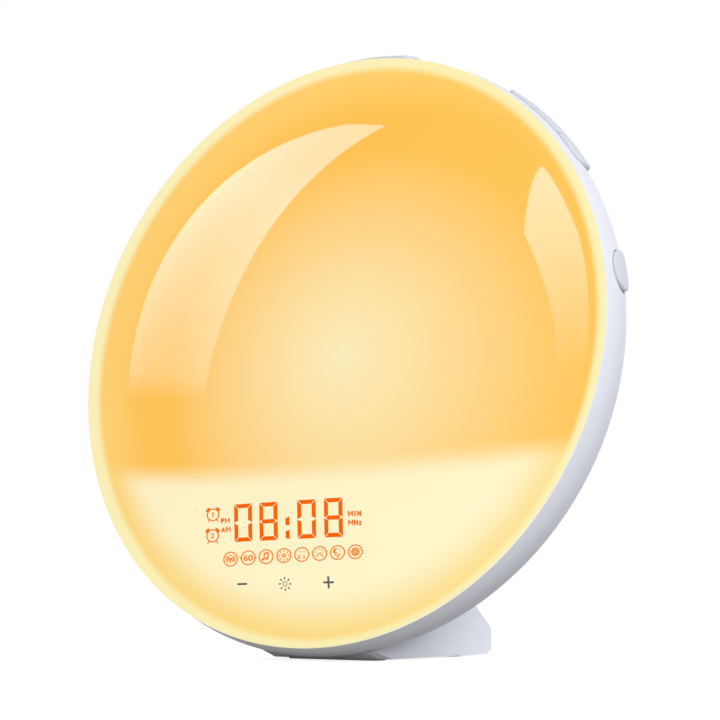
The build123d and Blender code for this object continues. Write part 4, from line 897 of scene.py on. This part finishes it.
class SUNRISE_OT_lens(bpy.types.Operator):
    """Spins the domed lens from its section and lights it from behind"""

    bl_idname = "sunrise_clock.lens"
    bl_label = "Domed lens"

    def execute(self, context):
        s = context.scene.sunrise_lens
        dome_centre = s.rise - s.dome_radius
        inner_radius = s.dome_radius - s.wall
        lip_out = s.radius - s.lip_inset
        lip_in = lip_out - s.lip_wall
        slant = math.asin((s.radius - s.edge_round) / (s.dome_radius - s.edge_round))
        meet = Vector((
            s.dome_radius * math.sin(slant), 0, dome_centre + s.dome_radius * math.cos(slant),
        ))
        reach = (s.radius - meet.x) / math.cos(slant)
        corner = Vector((s.radius, 0, meet.z - reach * math.sin(slant)))
        middle = Vector((0, 0, dome_centre))
        upright = (math.pi / 2, 0, 0)
        near_zero = 1e-6

        def on_inner_arc(co):
            return (
                abs((co - middle).length - inner_radius) < near_zero
                and (co - rim_inside).length > near_zero
            )

        let_go()
        bpy.ops.mesh.primitive_circle_add(
            vertices=ARC_CORNERS, radius=s.dome_radius, location=middle, rotation=upright,
        )
        lens = bpy.context.object
        bpy.ops.object.transform_apply(location=True, rotation=True, scale=True)
        pick(lens, lambda co: co.z < 0 or co.x < -near_zero or co.x > meet.x - 1 * MM)
        bpy.ops.mesh.delete(type="VERT")
        bpy.ops.object.mode_set(mode="OBJECT")
        end = max((v.co.copy() for v in lens.data.vertices), key=lambda co: co.x)
        rim_inside = Vector((lip_in, 0, dome_centre + math.sqrt(inner_radius**2 - lip_in**2)))
        pick(lens, lambda co: (co - end).length < near_zero)
        for point in (
            meet, corner, Vector((s.radius, 0, 0)), Vector((lip_out, 0, 0)),
            Vector((lip_out, 0, -s.lip_depth)), Vector((lip_in, 0, -s.lip_depth)), rim_inside,
        ):
            bpy.ops.mesh.extrude_region_move(TRANSFORM_OT_translate={"value": point - end})
            end = point
        pick(lens, lambda co: (co - corner).length < near_zero)
        bpy.ops.mesh.bevel(offset=reach * 0.995, segments=8, affect="VERTICES")
        bpy.ops.mesh.select_all(action="DESELECT")
        bpy.ops.mesh.primitive_circle_add(
            vertices=ARC_CORNERS, radius=inner_radius, location=middle, rotation=upright,
        )
        pick(lens, lambda co: on_inner_arc(co) and (
            co.z < 0 or co.x < -near_zero or co.x > lip_in - 0.1 * MM
        ))
        bpy.ops.mesh.delete(type="VERT")
        bpy.ops.object.mode_set(mode="OBJECT")
        near = max(
            (v.co.copy() for v in lens.data.vertices if on_inner_arc(v.co)),
            key=lambda co: co.x,
        )
        pick(lens, lambda co: min((co - near).length, (co - rim_inside).length) < near_zero)
        bpy.ops.mesh.edge_face_add()
        bpy.ops.mesh.select_all(action="SELECT")
        bpy.ops.mesh.spin(steps=s.steps, angle=2 * math.pi, center=(0, 0, 0), axis=(0, 0, 1))
        bpy.ops.mesh.select_all(action="SELECT")
        bpy.ops.mesh.remove_doubles(threshold=0.01 * MM)
        bpy.ops.mesh.normals_make_consistent(inside=False)
        bpy.ops.object.mode_set(mode="OBJECT")
        lens.matrix_world = FACE_PLACE
        settle(lens, "domed_lens")
        bpy.ops.object.shade_smooth_by_angle(angle=math.radians(35))
        dress(lens, lit_opal_acrylic(s), "root")
        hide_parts("front_lens")
        return {"FINISHED"}


class SUNRISE_OT_digits(bpy.types.Operator):
    """Draws the time in seven-segment digits and lays it on the lens"""

    bl_idname = "sunrise_clock.digits"
    bl_label = "Digits"

    def execute(self, context):
        s = context.scene.sunrise_display
        wide, tall, level, upright, gap = (size / MM for size in (
            s.digit_width, s.digit_height, s.stroke, s.upright_stroke, s.segment_gap,
        ))
        side = tall / 2 - 1.5 * gap

        def digit(with_middle):
            ends = (upright, upright)
            parts = [
                bar(0, tall / 2 - level / 2, wide - 2 * gap, level, 0, ends),
                bar(0, -tall / 2 + level / 2, wide - 2 * gap, level, math.pi, ends),
            ]
            for x in (-1, 1):
                for y in (-1, 1):
                    mitres = (level, level * 0.5) if x * y > 0 else (level * 0.5, level)
                    parts.append(bar(
                        x * (wide / 2 - upright / 2), y * (tall / 4 - 0.25 * gap), side, upright,
                        x * -math.pi / 2, mitres,
                    ))
            if with_middle:
                parts.append(lozenge_bar(0, 0, wide - upright, level))
            return join(parts)

        nought, eight = digit(False), digit(True)
        row = []
        for original, x, y, wide in (
            (nought, -15.24, -0.11, 1.09), (eight, -6.12, -0.16, 1.063),
            (nought, 6.84, -0.12, 1.014), (eight, 15.5, -0.03, 0.974),
        ):
            row.append(stretch(copy_of(original, 0, 0), x, y, wide))
        row.append(bar(0.43, -0.37, 2.45, 1.35, -math.pi / 2, (0.45, 0.15)))
        row.append(bar(0.43, -4.08, 2.5, 1.35, -math.pi / 2, (0.3, 0.3)))
        for original in (nought, eight):
            bpy.data.objects.remove(original)
        row = stretch(join(row), 0, -55.45, 1.0, lean=s.lean, turn=s.slope)
        film = lit_display_film("lit_display_film", s.lit_colour, "#F76A0C")
        press_on_lens([row], "lit_digits", film, s.proud)
        return {"FINISHED"}


# the row of icons in mm on the face: where it starts, its first pitch, what each next pitch
# loses, its height at the face's middle and its climb toward the right
ICON_START, ICON_PITCH, ICON_NARROWING = -20.4, 6.55, 0.17
ICON_HEIGHT, ICON_CLIMB = -65.15, 0.034


class SUNRISE_OT_mode_icons(bpy.types.Operator):
    """Draws the eight ringed mode icons under the time"""

    bl_idname = "sunrise_clock.mode_icons"
    bl_label = "Mode icons"

    def execute(self, context):
        s = context.scene.sunrise_display
        line = s.line / MM

        def spokes(count, radius, length, width, first=0.0, span=2 * math.pi):
            found = []
            for number in range(count):
                turn = first + span * number / count
                x, y = radius * math.cos(turn), radius * math.sin(turn)
                found.append(bar(x, y, length, width, turn))
            return found

        def radio():
            waves = []
            for reach in (1.1, 1.9, 2.7):
                waves += [ring(0, 0.05, reach, 0.26, 125, 235), ring(0, 0.05, reach, 0.26, -55, 55)]
            return waves + [
                disc(0, 0.05, 0.55), bar(0, -0.65, 1.0, 0.28, math.pi / 2), bar(0, 1.1, 0.9, 0.24),
            ]

        def timer():
            return [
                word("60", 0, 0, 2.8, 1.8, 0.03), disc(-2.15, 0, 0.5, 0.6), disc(2.15, 0, 0.5, 0.6),
            ]

        def music():
            return [
                bar(0.02, 0.98, 1.35, 0.55, 0.2), bar(-0.5, 0.12, 1.7, 0.38, math.pi / 2),
                bar(0.58, 0.34, 1.7, 0.38, math.pi / 2), disc(-0.8, -0.78, 1.0, 0.75, 0.3),
                disc(0.28, -0.54, 1.0, 0.75, 0.3),
            ]

        def bright_sun():
            return [ring(0, 0, 1.25, 0.36), *spokes(8, 1.35, 0.46, 0.42)]

        def sleep():
            return [
                word("Z", -0.72, -0.75, 1.0, 1.0, 0.05), word("Z", 0.68, -0.7, 0.8, 0.85, 0.05),
                bar(-0.55, 0.75, 0.5, 0.22, 0.3), bar(0.65, 0.78, 0.5, 0.22, -0.3),
                disc(0.0, 0.95, 0.22), disc(0.0, 0.35, 0.2),
            ]

        def sunrise():
            return [
                ring(0, -0.5, 1.5, 0.3, 25, 155), bar(-0.72, -0.66, 0.95, 0.3, 0.5),
                bar(0.72, -0.66, 0.95, 0.3, -0.5), bar(-0.38, -0.02, 0.8, 0.26, 0.55),
                bar(0.38, -0.02, 0.8, 0.26, -0.55),
                *spokes(5, 1.25, 0.36, 0.32, math.radians(20), math.radians(175)),
            ]

        def moon_and_tree():
            return [
                ring(-0.5, 0.5, 1.6, 0.4, 45, 315, 0.2), disc(-0.85, 0.45, 0.6, 1.15),
                disc(0.35, 0.95, 0.3), disc(0.75, 0.45, 0.26),
                bar(0.1, -0.95, 1.0, 0.34, math.pi / 2), bar(-0.4, -0.62, 1.05, 0.28, -0.3),
                bar(0.6, -0.6, 1.0, 0.28, 0.3), bar(0.1, -1.4, 0.6, 0.24),
            ]

        def settings():
            petals = [
                disc(math.cos(t) * 1.0, math.sin(t) * 1.0, 0.7)
                for t in (math.pi / 4 * k for k in range(8))
            ]
            return [ring(0, 0, 1.3, 0.38), *petals]

        drawings = (radio, timer, music, bright_sun, sleep, sunrise, moon_and_tree, settings)
        outline = ring(0, 0, 4.3, line)
        icons = []
        for number, draw in enumerate(drawings):
            x = ICON_START + number * ICON_PITCH - ICON_NARROWING * number * (number - 1) / 2
            y = ICON_HEIGHT + ICON_CLIMB * x
            # the row's icons grow a little narrower and lower toward its right end
            wide, high = 1.195 - 0.0052 * x, 0.945 - 0.0016 * x
            drawing = join([copy_of(outline, 0, 0), *draw()])
            icons.append(stretch(drawing, x, y, wide, high, s.icon_lean))
        bpy.data.objects.remove(outline)
        film = lit_display_film("lit_display_film_fine_lines", s.icon_colour, "#F68C36")
        press_on_lens(icons, "lit_mode_icons", film, s.proud)
        return {"FINISHED"}


class SUNRISE_OT_alarm_signs(bpy.types.Operator):
    """Draws the two alarm clocks and the words beside the time"""

    bl_idname = "sunrise_clock.alarm_signs"
    bl_label = "Alarm signs and words"

    def execute(self, context):
        s = context.scene.sunrise_display
        icons = []
        one = join([bar(0, 0, 1.3, 0.32, math.pi / 2), bar(-0.16, 0.46, 0.42, 0.24, 0.7)])
        two = word("2", 0, 0, 0.9, 1.35, 0.02)
        for number, x, y, high in ((one, -26.61, -53.14, 1.03), (two, -27.0, -59.1, 1.08)):
            clock = [ring(0, 0, 3.5, 0.32), number]
            for side in (-1, 1):
                clock += [
                    disc(side * 1.38, 1.42, 1.45, 0.78, -side * 0.75),
                    bar(side * 1.2, -1.7, 0.75, 0.28, side * -0.9),
                ]
            icons.append(stretch(join(clock), x, y, 1.42, high, s.lean))
        words = [letter_m(*place) for place in (
            (-21.15, -55.03, 1.83, 1.42), (-20.9, -57.5, 1.8, 1.45),
            (20.87, -54.27, 1.6, 1.45), (20.87, -56.66, 1.6, 1.45),
        )]
        words += [word(letter, x, y, across, high, 0.07) for letter, x, y, across, high in (
            ("P", -22.94, -55.0, 1.33, 1.45), ("A", -22.82, -57.58, 1.65, 1.4),
            ("I", 22.29, -54.26, 0.42, 1.45), ("N", 23.59, -54.26, 1.28, 1.45),
            ("H", 22.5, -56.66, 1.3, 1.45), ("z", 23.75, -56.82, 0.95, 1.12),
        )]
        film = lit_display_film("lit_display_film_signs", s.sign_colour, "#F57520")
        press_on_lens(icons + words, "lit_alarm_signs", film, s.proud)
        return {"FINISHED"}


class SUNRISE_OT_touch_signs(bpy.types.Operator):
    """Draws the minus, sun and plus signs over the touch pads"""

    bl_idname = "sunrise_clock.touch_signs"
    bl_label = "Touch signs"

    def execute(self, context):
        s = context.scene.sunrise_display
        ink = slate_pad_ink(s)
        minus = [bar(-16.54, -72.79, 3.5, 0.55, s.slope)]
        plus = [
            bar(12.96, -72.47, 3.35, 0.55, s.slope),
            bar(12.96, -72.47, 3.2, 0.62, math.pi / 2 - s.lean + s.slope),
        ]
        rays = []
        for number in range(8):
            turn = math.pi / 4 * number
            x, y = 1.52 * math.cos(turn), 1.52 * math.sin(turn)
            rays.append(bar(x, y, 0.72, 0.24, turn, narrow=1.9))
        sun = [stretch(join([ring(0, 0, 1.4, 0.2), *rays]), -1.39, -72.88, 1.13)]
        for parts, name in ((minus, "minus_sign"), (sun, "sun_sign"), (plus, "plus_sign")):
            press_on_lens(parts, name, ink, s.proud)
        return {"FINISHED"}


class SUNRISE_OT_housing(bpy.types.Operator):
    """Gives the shell, foot, keys and pads their finishes"""

    bl_idname = "sunrise_clock.housing"
    bl_label = "Housing finishes"

    def execute(self, context):
        s = context.scene.sunrise_housing
        paint_slots({
            "shell": satin_moulded_abs("satin_moulded_abs", s.shell_colour, 0.55, 0.5),
            "keys": satin_moulded_abs("satin_moulded_abs_keys", s.key_colour, 0.5, 0.4),
            "foot_rubber": moulded_silicone_rubber(s),
        })
        # the foot gets a lighter copy of the shell's satin, as painted light
        foot = frame["nodes"]["stand_foot"].data
        foot.materials.clear()
        foot.materials.append(satin_moulded_abs("satin_moulded_abs_foot_painted_light", s.foot_colour_painted_lighter, 0.55, 0.5))
        return {"FINISHED"}


class SUNRISE_OT_inner_parts(bpy.types.Operator):
    """Gives the parts inside the housing their finishes"""

    bl_idname = "sunrise_clock.inner_parts"
    bl_label = "Inner finishes"

    def execute(self, context):
        paint_slots({
            "plungers": moulded_plastic(
                "moulded_acetal_dark", "#232325", "#2E2E31", 0.4, 0.8, 1.48,
            ),
            "tray": moulded_plastic(
                "moulded_white_polycarbonate", "#EDEDEA", "#F8F8F6", 0.6, 0.6, 1.58,
            ),
            "board": solder_masked_board(),
            "led": phosphor_led_resin(),
            "dark_plastic": moulded_plastic("moulded_black_abs", "#111113", "#1E1E21", 0.45, 0.5),
            "segments": lit_display_film(
                "lit_display_film_inside", context.scene.sunrise_display.lit_colour, "#F76A0C",
            ),
            "steel": plated_steel(),
            "capacitor": drawn_aluminium_can(),
            "cone": pressed_paper_cone(),
            "cable": moulded_plastic("extruded_grey_pvc", "#C2C2C6", "#D2D2D6", 0.5, 0.7, 1.54),
            "lens": lit_opal_acrylic(context.scene.sunrise_lens),
        })
        return {"FINISHED"}


def paint_slots(finishes):
    """Assigns a material to every CAD node of each slot, and fails if a slot has no node."""
    for slot, material in finishes.items():
        nodes = [p["node"] for p in frame["record"]["subparts"] if p["material_slot"] == slot]
        if not nodes:
            raise RuntimeError(f"no node has the slot {slot}")
        for node in nodes:
            mesh = frame["nodes"][node].data
            mesh.materials.clear()
            mesh.materials.append(material)


SKY_WHITE = linear("#C8D5F3")[:3]


SOFTBOX_STEPS = 12  # steps down one stretch of a softbox


def bow(top, middle, foot, share):
    """The point a share of the way down the curve through three points."""
    return (
        Vector(top) * (1 - share) * (1 - 2 * share)
        + Vector(middle) * 4 * share * (1 - share)
        + Vector(foot) * share * (2 * share - 1)
    )


def softbox(name, stretches, strength, low, high, fade):
    """A curved light panel that only the gloss sees, with its light, fade, from low to high."""
    rows = [
        [bow(*edge, step / SOFTBOX_STEPS) for edge in stretch]
        for number, stretch in enumerate(stretches)
        for step in range(1 if number else 0, SOFTBOX_STEPS + 1)
    ]
    let_go()
    bpy.ops.mesh.primitive_plane_add(size=1)
    panel = bpy.context.object
    starts = ((-0.5, 0.5), (0.5, 0.5), (-0.5, -0.5), (0.5, -0.5))
    for start, corner in zip(starts, (*rows[0], *rows[1])):
        flat, corner = Vector((*start, 0)), Vector(corner)
        pick(panel, lambda co: (co - flat).length < 1e-6)
        bpy.ops.transform.translate(value=corner - flat)
    for upper, lower in zip(rows[1:], rows[2:]):
        upper = [Vector(p) for p in upper]
        pick(panel, lambda co: min((co - p).length for p in upper) < 1e-6)
        shift = Vector(lower[0]) - upper[0]
        bpy.ops.mesh.extrude_region_move(TRANSFORM_OT_translate={"value": shift})
        moved = upper[1] + shift
        pick(panel, lambda co: (co - moved).length < 1e-6)
        bpy.ops.transform.translate(value=Vector(lower[1]) - moved)
    bpy.ops.object.mode_set(mode="OBJECT")
    name_it(panel, name)
    glow = new_material(name + "_light")
    height = add(glow, "ShaderNodeSeparateXYZ", None, {
        "Vector": add(glow, "ShaderNodeTexCoord").outputs["Object"],
    }).outputs["Z"]
    climb = add(glow, "ShaderNodeMapRange", None, {
        "Value": height, "From Min": low, "From Max": high,
    }).outputs["Result"]
    share = add(glow, "ShaderNodeValToRGB", None, {"Fac": climb})
    set_stops(share.color_ramp, fade)
    colour = add(glow, "ShaderNodeMix", {"data_type": "RGBA"}, {
        0: share.outputs["Color"], 6: (1, 1, 1, 1), 7: [c * strength for c in SKY_WHITE] + [1],
    }).outputs[2]
    light = add(glow, "ShaderNodeEmission", None, {"Color": colour})
    finish_with(glow, light.outputs["Emission"])
    panel.data.materials.append(glow)
    for ray in ("camera", "diffuse", "shadow", "transmission", "volume_scatter"):
        setattr(panel, "visible_" + ray, False)


def lamp(name, place, target, size, power, colour):
    """A large soft area lamp that lights the object without showing in its gloss."""
    let_go()
    bpy.ops.object.light_add(type="AREA", location=place)
    light = bpy.context.object
    light.name = name
    light.data.shape = "DISK"
    light.data.size = size
    light.data.energy = power
    light.data.color = linear(colour)[:3]
    light.rotation_euler = (Vector(target) - Vector(place)).to_track_quat("-Z", "Y").to_euler()
    light.visible_glossy = False
    light.visible_camera = False


def seen_or_mirrored(holder):
    """1 for rays from the camera, from gloss and through clear parts, else 0."""
    path = add(holder, "ShaderNodeLightPath").outputs
    both = add(holder, "ShaderNodeMath", {"operation": "MAXIMUM"}, {
        0: path["Is Camera Ray"], 1: path["Is Glossy Ray"],
    }).outputs["Value"]
    return add(holder, "ShaderNodeMath", {"operation": "MAXIMUM"}, {
        0: both, 1: path["Is Transmission Ray"],
    }).outputs["Value"]


def pale_paper_floor():
    """Matt white background paper, which shows white and keeps a faint shadow."""
    m = new_material("pale_paper_floor")
    fibre = add(m, "ShaderNodeTexNoise", None, {
        "Vector": add(m, "ShaderNodeTexCoord").outputs["Object"],
        "Scale": 1 / (2 * MM), "Detail": 3.0,
    }).outputs["Fac"]
    paper = add(m, "ShaderNodeMix", {"data_type": "RGBA"}, {
        0: fibre, 6: (0.38, 0.38, 0.39, 1), 7: (0.42, 0.42, 0.43, 1),
    }).outputs[2]
    matt = add(m, "ShaderNodeBsdfDiffuse", None, {"Color": paper}).outputs["BSDF"]
    # what the paper needs beside the lamps' light to be seen as white
    strength = add(m, "ShaderNodeMath", {"operation": "MULTIPLY"}, {
        0: seen_or_mirrored(m), 1: 0.85,
    }).outputs["Value"]
    white = add(m, "ShaderNodeEmission", None, {"Strength": strength}).outputs["Emission"]
    both = add(m, "ShaderNodeAddShader", None, {0: matt, 1: white})
    return finish_with(m, both.outputs["Shader"])


# The two softboxes that the gloss of the dome mirrors, as stretches from the top down. Each
# stretch has a left and a right edge, bowed through its top, middle and foot, in metres.
LEFT_SOFTBOX = (
    (((-0.259, -0.272, 0.597), (-0.484, -0.186, 0.443), (-0.573, -0.232, 0.200)),
     ((-0.192, -0.311, 0.605), (-0.369, -0.347, 0.469), (-0.480, -0.395, 0.205))),
)
RIGHT_WAIST = ((0.071, -0.509, 0.467), (0.161, -0.493, 0.459))
RIGHT_SOFTBOX = (
    (((0.080, -0.420, 0.559), (0.069, -0.454, 0.529), RIGHT_WAIST[0]),
     ((0.083, -0.421, 0.558), (0.116, -0.448, 0.525), RIGHT_WAIST[1])),
    ((RIGHT_WAIST[0], (0.133, -0.572, 0.340), (0.148, -0.609, 0.215)),
     (RIGHT_WAIST[1], (0.200, -0.554, 0.334), (0.211, -0.590, 0.211))),
)
# their light from bottom to top
LEFT_FADE = (
    (0.00, "#000000"), (0.09, "#8F8F8F"), (0.25, "#A8A8A8"), (0.50, "#CBCBCB"),
    (0.75, "#EEEEEE"), (1.00, "#E8E8E8"),
)
RIGHT_FADE = ((0.0, "#000000"), (1.0, "#FFFFFF"))
# name, stretches, strength, heights between which the light fades, and the fade
SOFTBOXES = (
    ("left_softbox", LEFT_SOFTBOX, 12.5, 0.2, 0.6, LEFT_FADE),
    ("right_softbox", RIGHT_SOFTBOX, 14.2, 0.235, 0.53, RIGHT_FADE),
)
# name, place, what it points at, size across in metres, power in watts and colour
LAMPS = (
    ("right_lamp", (1.06, -0.58, 0.62), (0, 0, 0.1), 0.7, 11.2, "#F4F7FF"),
    ("top_lamp", (-0.1, 0.1, 1.3), (0, 0, 0.1), 1.0, 0.3, "#F8FAFF"),
    ("left_lamp", (-1.1, 0.1, 0.6), (0, 0, 0.1), 0.9, 3.5, "#F8FAFF"),
    ("front_lamp", (0.2, -1.3, 0.2), (0, 0, 0.05), 0.8, 1.8, "#F8FAFF"),
    ("low_lamp", (0.85, -0.9, 0.09), (0, 0, 0.02), 0.5, 1.5, "#F8FAFF"),
    ("back_lamp", (0.1, 1.3, 0.5), (0, 0, 0.1), 1.0, 8.0, "#F8FAFF"),
)


class SUNRISE_OT_stage(bpy.types.Operator):
    """Sets up the floor, the light, the mirrored softboxes and the camera"""

    bl_idname = "sunrise_clock.stage"
    bl_label = "Stage"

    def execute(self, context):
        s = context.scene.sunrise_stage
        let_go()
        bpy.ops.mesh.primitive_plane_add(size=8, location=(0, 0, 0))
        floor = name_it(bpy.context.object, "paper_floor")
        floor.data.materials.append(pale_paper_floor())

        for panel in SOFTBOXES:
            softbox(*panel)
        for light in LAMPS:
            lamp(*light)

        world = bpy.data.worlds.new("even_surround")
        context.scene.world = world
        world.use_nodes = True
        world.node_tree.nodes.clear()
        add(world, "ShaderNodeOutputWorld")
        # the even light is weaker behind the object, which darkens its outline a little
        side = add(world, "ShaderNodeSeparateXYZ", None, {
            "Vector": add(world, "ShaderNodeTexCoord").outputs["Generated"],
        }).outputs["Y"]
        even = add(world, "ShaderNodeMapRange", None, {
            "Value": side, "From Min": -1.0, "From Max": 1.0,
            "To Min": s.surround, "To Max": s.surround_behind,
        }).outputs["Result"]
        strength = add(world, "ShaderNodeMapRange", None, {
            "Value": seen_or_mirrored(world), "To Min": even, "To Max": 1.0,
        }).outputs["Result"]
        finish_with(world, add(world, "ShaderNodeBackground", None, {
            "Color": (1, 1, 1, 1), "Strength": strength,
        }).outputs["Background"])

        bpy.ops.object.camera_add(
            location=s.camera_place, rotation=(math.pi / 2 + s.camera_pitch, 0, s.camera_yaw),
        )
        camera = bpy.context.object
        camera.data.lens = s.lens_length
        camera.data.sensor_width = 36
        camera.data.clip_start = 0.01
        context.scene.camera = camera
        context.scene.view_settings.view_transform = "Standard"
        return {"FINISHED"}


OPERATORS = (
    SUNRISE_OT_lens, SUNRISE_OT_digits, SUNRISE_OT_mode_icons, SUNRISE_OT_alarm_signs,
    SUNRISE_OT_touch_signs, SUNRISE_OT_housing, SUNRISE_OT_inner_parts, SUNRISE_OT_stage,
)


class SUNRISE_PT_clock(bpy.types.Panel):
    """Lists the clock's settings and steps"""

    bl_idname = "SUNRISE_PT_clock"
    bl_label = "Sunrise clock"
    bl_space_type = "VIEW_3D"
    bl_region_type = "UI"
    bl_category = "Sunrise clock"

    def draw(self, context):
        for step in OPERATORS:
            self.layout.operator(step.bl_idname)
        for group in SETTINGS:
            settings = getattr(context.scene, group)
            box = self.layout.box()
            for name in settings.bl_rna.properties.keys():
                if name not in ("rna_type", "name"):
                    box.prop(settings, name)


def register():
    for kind in (*SETTINGS.values(), *OPERATORS, SUNRISE_PT_clock):
        bpy.utils.register_class(kind)
    for group, kind in SETTINGS.items():
        setattr(bpy.types.Scene, group, bpy.props.PointerProperty(type=kind))


def unregister():
    for group in SETTINGS:
        delattr(bpy.types.Scene, group)
    for kind in reversed((*SETTINGS.values(), *OPERATORS, SUNRISE_PT_clock)):
        bpy.utils.unregister_class(kind)


def main():
    register()
    bpy.ops.sunrise_clock.lens()
    bpy.ops.sunrise_clock.digits()
    bpy.ops.sunrise_clock.mode_icons()
    bpy.ops.sunrise_clock.alarm_signs()
    bpy.ops.sunrise_clock.touch_signs()
    bpy.ops.sunrise_clock.housing()
    bpy.ops.sunrise_clock.inner_parts()
    bpy.ops.sunrise_clock.stage()


if __name__ == "__main__":
    main()
